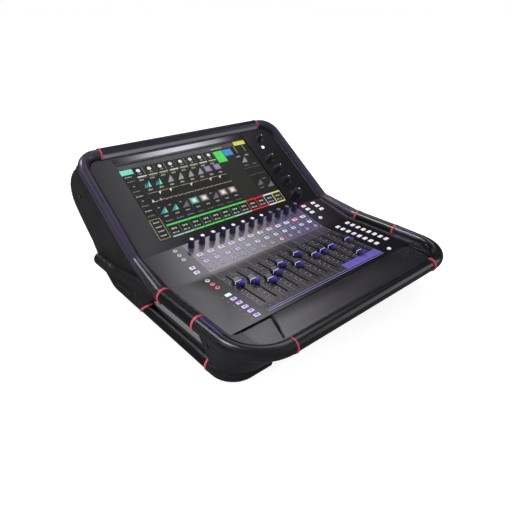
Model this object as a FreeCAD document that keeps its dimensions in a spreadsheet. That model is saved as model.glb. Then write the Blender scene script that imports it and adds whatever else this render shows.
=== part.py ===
import FreeCAD, Part
import math
import os
import Sketcher

# Mixing console, millimetres. x to the right of the operator, y to the back, z up from the ground.
# The origin is on the ground under the middle of the case.
# From front to back the face is the fader panel (level), the channel key panel ("mid", tilted)
# and the screen panel (steeper), with a bend line between each pair.

# ---------------------------------------------------------------- driving dimensions
# alias, value, note
SIZES = [
    ("overall_w", 565.0, "case width over the side rails"),
    ("overall_d", 627.0, "case depth, front rail to back of housing"),
    ("overall_h", 269.0, "height, ground to top rail"),
    ("fader_z", 89.0, "height of the fader panel face"),
    ("fader_len", 175.0, "fader panel, front edge to first bend"),
    ("bend_y", -46.5, "y of the first bend"),
    ("mid_tilt", 11.7, "tilt of the channel key panel"),
    ("mid_len", 97.2, "length of the channel key panel"),
    ("screen_tilt", 34.8, "tilt of the screen panel"),
    ("screen_len", 244.4, "length of the screen panel"),
    ("panel_w", 498.0, "width of the panels"),
    ("sheet_thick", 2.5, "panel thickness"),
    ("rail_r", 14.0, "side rail radius at the faders"),
    ("side_r", 11.5, "side rail radius beside the screen"),
    ("side_x", 261.0, "side rail centre beside the screen"),
    ("top_r", 13.0, "top rail radius"),
    ("top_bend", 36.0, "top corner centre line radius"),
    ("front_r", 12.0, "front rail radius"),
    ("front_bend", 74.0, "front corner centre line radius"),
    ("corner_r", 13.0, "front corner rail radius"),
    ("low_z", 28.5, "lower rail centre height"),
    ("grip_r", 13.2, "lower grip radius"),
    ("ring_w", 4.6, "thickness of the accent rings at the grips"),
    ("thin_ring_w", 3.4, "thickness of the accent rings on the top and front rails"),
    ("ring_up", 0.6, "accent ring stands proud of the rail"),
    ("pitch", 26.5, "channel pitch"),
    ("slot_w", 3.6, "fader slot width"),
    ("slot_len", 112.0, "fader slot length"),
    ("slot_along", -86.3, "fader slot centre from the first bend"),
    ("display_w", 350.0, "display opening width"),
    ("display_d", 198.8, "display opening depth"),
    ("display_x", -20.5, "display centre x"),
    ("display_along", 22.5, "display lower edge from the second bend"),
    ("encoder_r", 7.0, "channel encoder knob radius"),
    ("encoder_ht", 19.0, "channel encoder knob height"),
    ("encoder_along", 84.6, "encoder row from the first bend"),
    ("shaft_r", 3.0, "encoder shaft radius"),
    ("fit", 0.05, "running clearance, radial"),
    ("cap_w", 13.5, "fader cap width"),
    ("cap_len", 22.0, "fader cap length"),
    ("cap_ht", 10.0, "fader cap height"),
    ("key_w", 11.0, "key width"),
    ("key_d", 7.4, "key depth"),
    ("key_up", 1.6, "key stands above the panel"),
    ("key_down", 8.0, "key reaches below the panel face"),
    ("key_pitch", 15.35, "side key pitch"),
    ("key_gap", 0.3, "gap around a key"),
    ("apron_w", 460.0, "front apron width"),
    ("apron_y", -294.0, "front edge of the apron"),
    ("apron_r", 42.0, "front apron corner radius"),
    ("apron_z", 85.5, "front apron face height"),
    ("foot_r", 12.0, "rubber foot radius"),
    ("foot_ht", 14.0, "rubber foot height"),
    ("wall", 2.0, "chassis sheet thickness"),
]


class Size:
    """A number that carries the spreadsheet formula it was worked out from."""

    def __init__(self, value, text=None):
        self.value = float(value)
        self.text = text or "(%.6f)" % value

    def __add__(self, other):
        other = size(other)
        return Size(self.value + other.value, "(%s + %s)" % (self.text, other.text))

    __radd__ = __add__

    def __sub__(self, other):
        other = size(other)
        return Size(self.value - other.value, "(%s - %s)" % (self.text, other.text))

    def __rsub__(self, other):
        return size(other) - self

    def __mul__(self, other):
        other = size(other)
        return Size(self.value * other.value, "(%s * %s)" % (self.text, other.text))

    __rmul__ = __mul__

    def __truediv__(self, other):
        other = size(other)
        return Size(self.value / other.value, "(%s / %s)" % (self.text, other.text))

    def __neg__(self):
        return Size(-self.value, "(0 - %s)" % self.text)


def size(value):
    return value if isinstance(value, Size) else Size(value)


def num(value):
    return size(value).value


class Dimensions:
    """The driving sizes, one attribute for each alias."""


Vector = FreeCAD.Vector
doc = FreeCAD.newDocument("console")
sheet = doc.addObject("Spreadsheet::Sheet", "Dims")
dim = Dimensions()
for row, (alias, value, note) in enumerate(SIZES, start=1):
    sheet.set("A%d" % row, note)
    sheet.set("B%d" % row, repr(value))
    sheet.setAlias("B%d" % row, alias)
    setattr(dim, alias, Size(value, "Dims." + alias))
doc.recompute()


# ---------------------------------------------------------------- placing and binding
def drive(obj, prop, value):
    # bind a property to the spreadsheet if its value comes from there
    text = size(value).text
    if "Dims" in text:
        obj.setExpression(prop, text)


def set_size(obj, prop, value):
    setattr(obj, prop, num(value))
    drive(obj, prop, value)


def vector(point):
    return Vector(*[num(value) for value in point])


def place(obj, point, rotation, prop="Placement"):
    setattr(obj, prop, FreeCAD.Placement(vector(point), rotation))
    for axis, value in zip("xyz", point):
        drive(obj, prop + ".Base." + axis, value)
    return obj


def lay(obj, point, tilt=0, prop="Placement"):
    # place, turned by the tilt about x
    place(obj, point, FreeCAD.Rotation(Vector(1, 0, 0), num(tilt)), prop)
    drive(obj, prop + ".Rotation.Angle", tilt)
    return obj


class Face:
    """A flat face tilted about x. A point on it is x, distance along it from its front
    edge line at (y, z), and height up from it."""

    def __init__(self, y, z, tilt):
        self.y, self.z, self.tilt = size(y), size(z), size(tilt)
        turn = math.radians(self.tilt.value)
        self.sin = Size(math.sin(turn), "sin(%s)" % self.tilt.text)
        self.cos = Size(math.cos(turn), "cos(%s)" % self.tilt.text)
        self.normal = Vector(0, -math.sin(turn), math.cos(turn))

    def side(self, along, up=0):
        # y and z of a point, as used in the side view sketches
        return (self.y + along * self.cos - up * self.sin,
                self.z + along * self.sin + up * self.cos)

    def point(self, x, along, up=0):
        return (size(x),) + self.side(along, up)


# ---------------------------------------------------------------- simple solids
def solid(kind, name, **sizes):
    obj = doc.addObject("Part::" + kind, name)
    for prop, value in sizes.items():
        set_size(obj, prop, value)
    return obj


def box(name, sides, corner, tilt=0):
    obj = solid("Box", name, Length=sides[0], Width=sides[1], Height=sides[2])
    return lay(obj, corner, tilt)


def box_on(face, name, sides, x, along, up):
    # x and along are the middle of the box, up is its lower face
    corner = face.point(x - sides[0] / 2, along - sides[1] / 2, up)
    return box(name, sides, corner, face.tilt)


def cylinder(name, radius, length, start, direction=(0, 0, 1)):
    obj = solid("Cylinder", name, Radius=radius, Height=length)
    return place(obj, start, FreeCAD.Rotation(Vector(0, 0, 1), Vector(*direction)))


def cylinder_on(face, name, radius, length, x, along, up):
    return cylinder(name, radius, length, face.point(x, along, up), face.normal)


def cone(name, start_r, end_r, length, start, direction=(0, 0, 1)):
    obj = solid("Cone", name, Radius1=start_r, Radius2=end_r, Height=length)
    return place(obj, start, FreeCAD.Rotation(Vector(0, 0, 1), Vector(*direction)))


def bar(name, start_r, end_r, start, end):
    # a straight round bar between two points
    reach = vector(end) - vector(start)
    if abs(num(start_r) - num(end_r)) < 1e-6:
        return cylinder(name, start_r, reach.Length, start, reach)
    return cone(name, start_r, end_r, reach.Length, start, reach)


def bent_bar(name, bend_r, bar_r, centre, turn_axis, start_axis, angle):
    # part of a torus; it starts on start_axis and turns about turn_axis
    obj = solid("Torus", name, Radius1=bend_r, Radius2=bar_r, Angle3=angle)
    z = Vector(*turn_axis).normalize()
    x = Vector(*start_axis).normalize()
    y = z.cross(x)
    origin = vector(centre)
    obj.Placement = FreeCAD.Placement(FreeCAD.Matrix(
        x.x, y.x, z.x, origin.x,
        x.y, y.y, z.y, origin.y,
        x.z, y.z, z.z, origin.z,
        0, 0, 0, 1))
    return obj


def bar_run(name, points, radii, bends):
    # a round bar through the points, with a radius at each point and a bend at each inner one
    points = [vector(point) for point in points]
    parts = []
    start = points[0]
    last = len(points) - 1
    for i in range(1, last + 1):
        ahead = (points[i] - points[i - 1]).normalize()
        straight = "%s_straight%d" % (name, i)
        if i == last:
            parts.append(bar(straight, radii[i - 1], radii[i], start, points[i]))
            break
        after = (points[i + 1] - points[i]).normalize()
        angle = ahead.getAngle(after)
        bend_r = bends[i - 1]
        setback = num(bend_r) * math.tan(angle / 2)
        stop = points[i] - ahead * setback
        parts.append(bar(straight, radii[i - 1], radii[i], start, stop))
        turn = ahead.cross(after).normalize()
        outward = ahead.cross(turn).normalize()
        centre = stop - outward * num(bend_r)
        parts.append(bent_bar("%s_bend%d" % (name, i), bend_r, radii[i], centre, turn, outward,
                              math.degrees(angle)))
        start = points[i] + after * setback
    return parts


def cut(name, base, tool):
    obj = doc.addObject("Part::Cut", name)
    obj.Base, obj.Tool = base, tool
    return obj


def fuse(name, parts):
    obj = doc.addObject("Part::MultiFuse", name)
    obj.Shapes = parts
    return obj


def group(name, parts):
    obj = doc.addObject("Part::Compound", name)
    obj.Links = parts
    return obj


def mirror(name, source):
    # left to right
    obj = doc.addObject("Part::Mirroring", name)
    obj.Source = source
    obj.Normal = Vector(1, 0, 0)
    obj.Base = Vector(0, 0, 0)
    return obj


def mirrored(parts):
    return [mirror(part.Name + "_right", part) for part in parts]


# ---------------------------------------------------------------- bodies and sketches
def new_body(name, face=None, x=0, along=0):
    # a body, with its own frame on the face if one is given
    body = doc.addObject("PartDesign::Body", name)
    body.AllowCompound = True
    if face:
        lay(body, face.point(x, along), face.tilt)
    return body


def new_sketch(body, name, plane="XY", origin=(0, 0, 0), tilt=0):
    sketch = body.newObject("Sketcher::SketchObject", name)
    role = plane + "_Plane"
    support = next(f for f in body.Origin.OriginFeatures if f.Role == role)
    sketch.AttachmentSupport = [(support, "")]
    sketch.MapMode = "FlatFace"
    return lay(sketch, origin, tilt, "AttachmentOffset")


def sketch_on(face, body, name):
    return new_sketch(body, name, "XY", face.point(0, 0), face.tilt)


def pin_point(sketch, curve, end, x, y):
    for kind, value in (("DistanceX", x), ("DistanceY", y)):
        pin = sketch.addConstraint(Sketcher.Constraint(kind, -1, 1, curve, end, num(value)))
        drive(sketch, "Constraints[%d]" % pin, value)


def polygon(sketch, points):
    count = len(points)
    lines = []
    for i in range(count):
        start, end = points[i], points[(i + 1) % count]
        segment = Part.LineSegment(vector((*start, 0)), vector((*end, 0)))
        lines.append(sketch.addGeometry(segment, False))
    for i in range(count):
        joint = Sketcher.Constraint("Coincident", lines[i], 2, lines[(i + 1) % count], 1)
        sketch.addConstraint(joint)
    for line, (x, y) in zip(lines, points):
        pin_point(sketch, line, 1, x, y)


def rectangle(sketch, x, y, width, depth):
    half_w, half_d = size(width) / 2, size(depth) / 2
    polygon(sketch, [(x - half_w, y - half_d), (x + half_w, y - half_d),
                     (x + half_w, y + half_d), (x - half_w, y + half_d)])


def circle(sketch, x, y, radius):
    ring = Part.Circle(vector((x, y, 0)), Vector(0, 0, 1), num(radius))
    curve = sketch.addGeometry(ring, False)
    pin_point(sketch, curve, 3, x, y)
    pin = sketch.addConstraint(Sketcher.Constraint("Radius", curve, num(radius)))
    drive(sketch, "Constraints[%d]" % pin, radius)


def trace(sketch, start, *legs):
    # an outline from leg to leg: a leg is [end] for a line or [middle, end] for an arc
    for leg in legs:
        points = [vector((*point, 0)) for point in (start, *leg)]
        curve = Part.LineSegment(*points) if len(leg) == 1 else Part.Arc(*points)
        sketch.addGeometry(curve, False)
        start = leg[-1]


def extrude(kind, body, sketch, length, mid, flip):
    feature = body.newObject("PartDesign::" + kind, sketch.Name + "_" + kind.lower())
    feature.Profile = sketch
    set_size(feature, "Length", length)
    feature.Midplane = mid
    feature.Reversed = flip
    body.Tip = feature


def pad(body, sketch, length, mid=False, flip=False):
    extrude("Pad", body, sketch, length, mid, flip)


def pocket(body, sketch, length, mid=True):
    extrude("Pocket", body, sketch, length, mid, False)


def dress(kind, body, name, amount, test, rise=0):
    # fillet or chamfer the edges whose ends all pass the test and that climb at least the rise
    doc.recompute()
    base = body.Tip
    names = []
    for i, edge in enumerate(base.Shape.Edges, start=1):
        ends = [corner.Point for corner in edge.Vertexes]
        if all(test(end) for end in ends) and abs(ends[0].z - ends[-1].z) >= rise:
            names.append("Edge%d" % i)
    feature = body.newObject("PartDesign::" + kind, name)
    feature.Base = (base, names)
    setattr(feature, {"Fillet": "Radius", "Chamfer": "Size"}[kind], amount)
    body.Tip = feature


PIECES = []


def piece(obj):
    # list a finished piece; its Label names its file
    PIECES.append(obj)
    return obj


# ---------------------------------------------------------------- main places
bend_y, fader_z, low_z = dim.bend_y, dim.fader_z, dim.low_z
thick, wall = dim.sheet_thick, dim.wall
fader_face = Face(bend_y, fader_z, 0)
mid_face = Face(bend_y, fader_z, dim.mid_tilt)
bend2_y, bend2_z = mid_face.side(dim.mid_len)
screen_face = Face(bend2_y, bend2_z, dim.screen_tilt)
panel_front_y = bend_y - dim.fader_len
under = thick + 0.1  # just clear of the underside of a panel

rail_x = dim.overall_w / 2 - dim.rail_r
front_y = -(dim.overall_d / 2) + dim.corner_r + dim.ring_up
top_along = (dim.overall_h - dim.top_r - bend2_z) / screen_face.sin
rail_gap = 0.05

# accent rings, at their middles
ring_half, thin_half = dim.ring_w / 2, dim.thin_ring_w / 2
upper_back_y, upper_front_y = bend_y - 14, bend_y - 118
low_front_y, low_back_y = bend_y - 151, bend_y + 55
top_ring_x, front_ring_x = 214.0, 191.0
moulding_x = front_ring_x + thin_half  # inner end of the corner mouldings

# centres of the upper and lower front corner bends
corner_x, corner_y = rail_x - dim.front_bend, front_y + dim.front_bend
low_bend = 33.5
low_corner_x, low_corner_y = rail_x - low_bend, bend_y - 165.0

# recess for the front apron
recess_y, recess_z = dim.apron_y - 0.3, dim.apron_z - 3.1


def upper(y):
    return (-rail_x, y, fader_z)


def lower(y):
    return (-rail_x, y, low_z)


def on_top_rail(x):
    return screen_face.point(x, top_along)


# ---------------------------------------------------------------- channels, keys and knobs
CHANNEL_X = [dim.pitch * (i - 5.5) for i in range(12)]
# rest position of each fader cap, y from the first bend
REST = [-68.0, -79.0, -97.0, -83.0, -67.0, -88.0, -56.5, -82.5, -81.5, -80.0, -133.0, -81.0]

# key forms: width and depth, or a radius
OBLONG = (dim.key_w, dim.key_d)
ROUND = (4.4,)
MUTE = (13.0, 8.0)
SELECT = (dim.key_w - 1, dim.key_d)

# x of the key columns beside the channels
LEFT_X, RIGHT_X, FAR_RIGHT_X = -182.0, 184.0, 218.0

# keys: x, along, form
MID_SIDE = (
    [(LEFT_X, along, ROUND) for along in (86.4, 71.0, 55.7)]
    + [(LEFT_X, along, OBLONG) for along in (26.3, 11.4)]
    + [(x, along, OBLONG) for x in (181.0, 214.0) for along in (86.0, 71.5, 56.8)]
    + [(182.0, 30.0, ROUND)]
)
FADER_SIDE = (
    [(LEFT_X, along, ROUND) for along in (-22.8, -38.5, -53.7)]
    + [(LEFT_X, -84.4 - dim.key_pitch * i, OBLONG) for i in range(6)]
    + [(x, -23.0 - dim.key_pitch * i, OBLONG) for x in (RIGHT_X, FAR_RIGHT_X) for i in range(8)]
    + [(RIGHT_X, -162.0, ROUND)]
)

# key pieces: label, face, keys
KEY_SETS = [
    ("keys_mute", mid_face, [(x, 53.6, MUTE) for x in CHANNEL_X]),
    ("keys_select", mid_face, [(x, 31.0, SELECT) for x in CHANNEL_X]),
    ("keys_listen", mid_face, [(x, 11.6, ROUND) for x in CHANNEL_X]),
    ("keys_mid_side", mid_face, MID_SIDE),
    ("keys_fader_side", fader_face, FADER_SIDE),
    ("key_screen", screen_face, [(191.5, 185.0, ROUND)]),
]

# rotary controls beside the display: x, along, radius, height
KNOBS = [
    (200.0, 213.0, 6.5, 12.0),
    (188.0, 147.0, 8.5, 14.0),
    (189.5, 112.0, 8.5, 14.0),
    (190.0, 74.0, 8.5, 14.0),
    (188.0, 28.5, 12.5, 16.0),
]
KNOB_HOLE_R = 3.7
CUT_DEPTH = 12  # both ways together, through a panel


def draw_keys(sketch, keys, gap=0):
    for x, along, form in keys:
        if form is ROUND:
            circle(sketch, x, along, form[0] + gap)
        else:
            rectangle(sketch, x, along, form[0] + 2 * gap, form[1] + 2 * gap)


def draw_key_holes(sketch, face):
    for label, key_face, keys in KEY_SETS:
        if key_face is face:
            draw_keys(sketch, keys, dim.key_gap)


# ---------------------------------------------------------------- control panel: one bent sheet
panel = new_body("control_panel")
sketch = new_sketch(panel, "panel_profile", "YZ")
mid_end = dim.mid_len - 0.15
polygon(sketch, [
    (panel_front_y, fader_z),
    (bend_y, fader_z),
    mid_face.side(mid_end),
    mid_face.side(mid_end, -thick),
    (bend_y + thick * mid_face.sin, fader_z - thick),
    (panel_front_y, fader_z - thick),
])
pad(panel, sketch, dim.panel_w, mid=True)
sketch = sketch_on(fader_face, panel, "fader_slots")
for x in CHANNEL_X:
    rectangle(sketch, x, dim.slot_along, dim.slot_w, dim.slot_len)
pocket(panel, sketch, CUT_DEPTH)
sketch = sketch_on(fader_face, panel, "fader_side_key_holes")
draw_key_holes(sketch, fader_face)
pocket(panel, sketch, CUT_DEPTH)
sketch = sketch_on(mid_face, panel, "mid_holes")
draw_key_holes(sketch, mid_face)
for x in CHANNEL_X:
    circle(sketch, x, dim.encoder_along, KNOB_HOLE_R)
pocket(panel, sketch, CUT_DEPTH)
# shallow tray for the channel name strip
sketch = sketch_on(fader_face, panel, "name_strip")
rectangle(sketch, 0, -153.5, 324, 13)
pocket(panel, sketch, 0.3, mid=False)
piece(panel)


# ---------------------------------------------------------------- screen panel
def display_rectangle(sketch, grow=0):
    rectangle(sketch, dim.display_x, dim.display_along + dim.display_d / 2,
              dim.display_w + grow, dim.display_d + grow)


bezel = new_body("screen_panel", screen_face)
sketch = new_sketch(bezel, "bezel_outline")
rectangle(sketch, 0, dim.screen_len / 2 + 0.1, dim.panel_w, dim.screen_len - 0.2)
pad(bezel, sketch, thick, flip=True)
sketch = new_sketch(bezel, "bezel_openings")
display_rectangle(sketch)
for x, along, radius, height in KNOBS:
    circle(sketch, x, along, KNOB_HOLE_R)
draw_key_holes(sketch, screen_face)
pocket(bezel, sketch, CUT_DEPTH)
# the two upper corners
dress("Fillet", bezel, "bezel_corners", 24.5,
      lambda p: abs(abs(p.x) - num(dim.panel_w) / 2) < 0.01 and p.y > 200, rise=1)
piece(bezel)


# ---------------------------------------------------------------- display module and cover glass
def display_layer(body, name, down, grow, depth):
    # a slab whose top lies down below the panel face
    sketch = new_sketch(body, name, "XY", (0, 0, -down))
    display_rectangle(sketch, grow)
    pad(body, sketch, depth, flip=True)


module = new_body("display_module", screen_face)
display_layer(module, "module_block", under, 12, 9)
display_layer(module, "driver_block", under + 9, -40, 3)
piece(module)
glass = new_body("cover_glass", screen_face)
display_layer(glass, "glass_pane", 0.15, -0.8, 2.3)
piece(glass)

# ---------------------------------------------------------------- chassis
half_w = dim.panel_w / 2 + 0.4
floor_z = dim.foot_ht
wall_y = -225.9  # front face of the front wall
corner_round = 14.4
nose_top_z = dim.apron_z - 3.2
back_foot, back_top = (224.0, 74.0), (299.0, 148.0)  # y, z of the sloping back wall
back_tilt = math.degrees(math.atan2(back_top[1] - back_foot[1], back_top[0] - back_foot[0]))
back_face = Face(*back_foot, back_tilt)  # its up side is inside the case
SOCKETS = [(-189.0 + 42.0 * i, along) for along in (26.0, 62.0) for i in range(10)]  # x, along

chassis = new_body("chassis_body")
# side view: y, z
sketch = new_sketch(chassis, "chassis_side", "YZ")
polygon(sketch, [
    (wall_y, floor_z), (wall_y, fader_z - under),
    (bend_y + under * mid_face.sin * 0.5, fader_z - under),
    mid_face.side(dim.mid_len - 1.6, -under), screen_face.side(-0.5, -3.4),
    screen_face.side(2.0, -under), screen_face.side(dim.screen_len - 4, -under),
    (258, 228), (288, 203), (303, 183), (305, 168), back_top,
    back_foot, (219, 40), (205, floor_z),
])
pad(chassis, sketch, half_w * 2, mid=True)
sketch = new_sketch(chassis, "chassis_hollow", "YZ")
polygon(sketch, [
    (wall_y + wall, floor_z + wall), (wall_y + wall, 130), (0, 400), (400, 400), (400, 168),
    (303, 168), (297, 148.8), (222.2, 75), (217, 41), (203.5, floor_z + wall),
])
pocket(chassis, sketch, (half_w - wall) * 2)
# rounded front corners, outside and inside
for name, inset in (("corner_outside", 0.0), ("corner_inside", num(wall))):
    edge_x, edge_y = num(half_w) - inset, wall_y + inset
    dress("Fillet", chassis, name, corner_round - inset,
          lambda p: abs(abs(p.x) - edge_x) < 0.01 and abs(p.y - edge_y) < 0.01, rise=20)
# the front wall is lower where the apron passes over it
sketch = new_sketch(chassis, "apron_step", "YZ")
polygon(sketch, [(-240, nose_top_z), (-240, 120), (-221.9, 120), (-221.9, nose_top_z)])
pocket(chassis, sketch, half_w * 2 + 10)
# sloping nose under the armrest, between the corner mouldings
sketch = new_sketch(chassis, "nose_side", "YZ")
polygon(sketch, [
    (-225.0, 16.5), (-241, 18), (-246, 26), (-283, 66), (-287, 72),
    (-287.2, nose_top_z), (-225.0, nose_top_z),
])
pad(chassis, sketch, 2 * moulding_x - 0.6, mid=True)
sketch = new_sketch(chassis, "nose_hollow", "YZ")
polygon(sketch, [
    (wall_y, 18.5), (-240, 20), (-244, 27), (-281, 67), (-285, 73), (-285.2, 90), (wall_y, 90),
])
pocket(chassis, sketch, 2 * moulding_x - 4.6)
sketch = sketch_on(back_face, chassis, "socket_holes")
for x, along in SOCKETS:
    circle(sketch, x, along, 10.6)
pocket(chassis, sketch, 14)

# ---------------------------------------------------------------- back housing: curved cover
housing = new_body("housing_body")
sketch = new_sketch(housing, "housing_profile", "YZ")
# y, z: down the outside, then back up the inside
polygon(sketch, [
    screen_face.side(dim.screen_len + 0.4), screen_face.side(dim.screen_len + 1.2, -13.0),
    (263, 233.5), (277, 225.5), (291, 214), (302, 202), (310, 187.5), (313.5, 172),
    (311, 158), (304.5, 147.5),
    (300.8, 147.3), (307.5, 160), (309.8, 172), (306.5, 186), (299, 200), (288.5, 211),
    (275, 222), (262, 229.8), screen_face.side(dim.screen_len + 0.4, -13.6),
])
pad(housing, sketch, dim.panel_w, mid=True)

# ---------------------------------------------------------------- side and top rails
first_bend = upper(bend_y)
second_bend = mid_face.point(-dim.side_x, dim.mid_len, -1.0)
top_corner = on_top_rail(-dim.side_x)


def side_rail_run(name, start, end, gap=0):
    # the left side rail line, drawn larger by the gap
    wide, slim = dim.rail_r + gap, dim.side_r + gap
    points = [start, first_bend, second_bend, top_corner, end]
    return bar_run(name, points, [wide, wide, slim, slim, slim], [40.0, 40.0, dim.top_bend])


rail_left = piece(fuse("rail_left", side_rail_run(
    "side_rail", upper(upper_back_y + ring_half), on_top_rail(-(top_ring_x + thin_half)))))
piece(mirror("rail_right", rail_left))
top_end_x = top_ring_x - thin_half
piece(bar("rail_top", dim.top_r, dim.top_r, on_top_rail(-top_end_x), on_top_rail(top_end_x)))

# ---------------------------------------------------------------- front rail, rebated for the apron
front_end_x = front_ring_x - thin_half
front_bar = bar("front_bar", dim.front_r, dim.front_r,
                (-front_end_x, front_y + 0.5, fader_z - 2),
                (front_end_x, front_y + 0.5, fader_z - 2))
rebate = box("front_rebate", (420, 60, 60), (-210, recess_y, recess_z))
piece(cut("rail_front", front_bar, rebate))

# ---------------------------------------------------------------- front corner mouldings
QUARTER = math.cos(math.radians(45))  # middle of a quarter arc, per unit radius


def skirt(sketch, centre_x, centre_y, outer, back_y):
    # an L shaped wall seen from above, 10 thick, round the left front corner
    x, y, back_y = -num(centre_x), num(centre_y), num(back_y)
    outer, end_x = num(outer), -num(moulding_x)
    inner = outer - 10
    trace(sketch, (x - outer, back_y),
          [(x - outer, y)],
          [(x - outer * QUARTER, y - outer * QUARTER), (x, y - outer)],
          [(end_x, y - outer)],
          [(end_x, y - inner)],
          [(x, y - inner)],
          [(x - inner * QUARTER, y - inner * QUARTER), (x - inner, y)],
          [(x - inner, back_y)],
          [(x - outer, back_y)])


def rounded_front(sketch, half, front, radius, back):
    # a plate outline with its two front corners rounded
    half, front, radius, back = num(half), num(front), num(radius), num(back)
    side, rise = half - radius, front + radius
    reach = radius * QUARTER
    trace(sketch, (-half, back),
          [(-half, rise)],
          [(-side - reach, rise - reach), (-side, front)],
          [(side, front)],
          [(side + reach, rise - reach), (half, rise)],
          [(half, back)],
          [(-half, back)])


web = new_body("corner_web")
web_top = new_sketch(web, "web_top", "XY", (0, 0, fader_z - 4))
skirt(web_top, corner_x, corner_y, dim.front_bend + 7.0, upper_front_y - ring_half - 0.02)
web_foot = new_sketch(web, "web_foot", "XY", (0, 0, low_z))
skirt(web_foot, low_corner_x, low_corner_y, low_bend + 9.0, -211.4)
loft = web.newObject("PartDesign::AdditiveLoft", "web_loft")
loft.Profile = web_top
loft.Sections = [web_foot]
loft.Ruled = True
web.Tip = loft

low_rail_y = low_corner_y - low_bend
corner_raw = fuse("corner_raw", [
    bar("corner_upper_side", dim.rail_r, dim.corner_r,
        upper(upper_front_y - ring_half), upper(corner_y)),
    bent_bar("corner_upper_bend", dim.front_bend, dim.corner_r,
             (-corner_x, corner_y, fader_z), (0, 0, 1), (-1, 0, 0), 90),
    bar("corner_upper_front", dim.corner_r, dim.corner_r,
        (-corner_x, front_y, fader_z), (-moulding_x, front_y, fader_z)),
    web,
    bar("corner_lower_side", dim.rail_r, dim.rail_r,
        lower(low_front_y - ring_half), lower(low_corner_y)),
    bent_bar("corner_lower_bend", low_bend, dim.rail_r,
             (-low_corner_x, low_corner_y, low_z), (0, 0, 1), (-1, 0, 0), 90),
    bar("corner_lower_front", dim.rail_r, dim.rail_r,
        (-low_corner_x, low_rail_y, low_z), (-moulding_x, low_rail_y, low_z)),
    cylinder("corner_plate", dim.front_bend - 2, 3.2, (-corner_x, corner_y, fader_z - 3.2)),
    box("corner_upper_block", (16, 57.6, 12), (-265.0, -224.5, fader_z - 12)),
    box("corner_lower_block", (12, 25.1, 26), (-261.0, -225.0, low_z - 12)),
])
# the apron lies in a recess with rounded corners
recess = new_body("apron_recess")
sketch = new_sketch(recess, "recess_outline", "XY", (0, 0, recess_z))
rounded_front(sketch, dim.apron_w / 2 + 0.3, recess_y, dim.apron_r + 0.3, -221.0)
pad(recess, sketch, 40)
# space for the chassis, panel and nose inside the corner
corner_space = group("corner_space", [
    box("space_case", (half_w * 2 + 0.4, 300, 140),
        (-(half_w + 0.2), panel_front_y - 0.3, -10.0)),
    box("space_wall", (half_w * 2 - 26.0, 5, 86), (-(half_w - 13.0), -226.2, -4.0)),
    cylinder("space_round", corner_round + 0.2, 130,
             (-(half_w - corner_round), wall_y + corner_round, -4.0)),
    box("space_nose", (2 * moulding_x + 0.02, 110, 140), (-(moulding_x + 0.01), -330.0, -10.0)),
    recess,
])

# screws turned in from outside: distance of the surface from the middle, y, z
WEB_SCREW = (276.2, -197.0, 66.0)
CHEEK_SCREWS = [
    (268.0, 220.5, 206.5), (268.0, 266.5, 174.0), (268.0, 72.5, 106.6), (277.0, 34.0, 48.0),
]


def screw_bar(name, radius, length, screw, out):
    # a cylinder on the screw axis, starting outside the left surface and running inward
    x, y, z = screw
    return cylinder(name, radius, length, (-x - out, y, z), (1, 0, 0))


web_holes = group("web_holes", [
    screw_bar("web_drill", 1.6, 11.5, WEB_SCREW, 2),
    screw_bar("web_seat", 4.2, 8, WEB_SCREW, 7.7),
])
corner_left = piece(cut("corner_left", cut("corner_drilled", corner_raw, web_holes),
                        corner_space))
piece(mirror("corner_right", corner_left))

# ---------------------------------------------------------------- front apron and armrest pad
apron = new_body("front_apron")
sketch = new_sketch(apron, "apron_outline", "XY", (0, 0, dim.apron_z))
rounded_front(sketch, dim.apron_w / 2, dim.apron_y, dim.apron_r, panel_front_y - 0.7)
pad(apron, sketch, 3, flip=True)
piece(apron)

armrest = new_body("armrest_pad")
sketch = new_sketch(armrest, "armrest_profile", "YZ")
pad_back_y, pad_z = num(panel_front_y) - 1.4, num(dim.apron_z) + 0.1
trace(sketch, (pad_back_y, pad_z),
      [(pad_back_y, 90.2)],
      [(-258, 91.6), (-283.5, 87.6)],
      [(-284.8, pad_z)],
      [(pad_back_y, pad_z)])
pad(armrest, sketch, 400, mid=True)
for side, name in ((-1, "armrest_left_end"), (1, "armrest_right_end")):
    sketch = new_sketch(armrest, name)
    polygon(sketch, [(side * 165.5, -221), (side * 191.0, -280.0), (side * 184.0, -290.0),
                     (side * 230.0, -290.0), (side * 230.0, -221)])
    pocket(armrest, sketch, 400)
piece(armrest)

# ---------------------------------------------------------------- grips and accent rings
# the back ring of the lower rail leans 45 degrees; its faces cross the rail axis at these y
slant_half = ring_half * math.sqrt(2.0)
slant_front_y, slant_back_y = low_back_y - slant_half, low_back_y + slant_half


def leaning_slab(name, face_y, width, forward=0):
    # a slab across the left lower rail, leaning 45 degrees; its front face crosses the rail
    # axis at face_y, or lies forward of it by the given distance
    slab = solid("Box", name, Length=60.0, Width=width, Height=160.0)
    lean = FreeCAD.Rotation(Vector(1, 0, 0), 45.0)
    crossing = Vector(-num(rail_x) - 30.0, num(face_y), num(low_z))
    offset = lean.multVec(Vector(0, -forward, -80.0))
    slab.Placement = FreeCAD.Placement(crossing + offset, lean)
    return slab


upper_grip = bar("grip_upper", dim.rail_r - 0.4, dim.rail_r - 0.4,
                 upper(upper_front_y + ring_half), upper(upper_back_y - ring_half))
lower_bar = bar("grip_lower_bar", dim.grip_r, dim.grip_r,
                lower(low_front_y + ring_half), lower(low_back_y + 30))
lower_grip = cut("grip_lower", lower_bar, leaning_slab("grip_end", slant_front_y, 80.0))
grips = [upper_grip, lower_grip]
piece(group("hand_grips", grips + mirrored(grips)))

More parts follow.
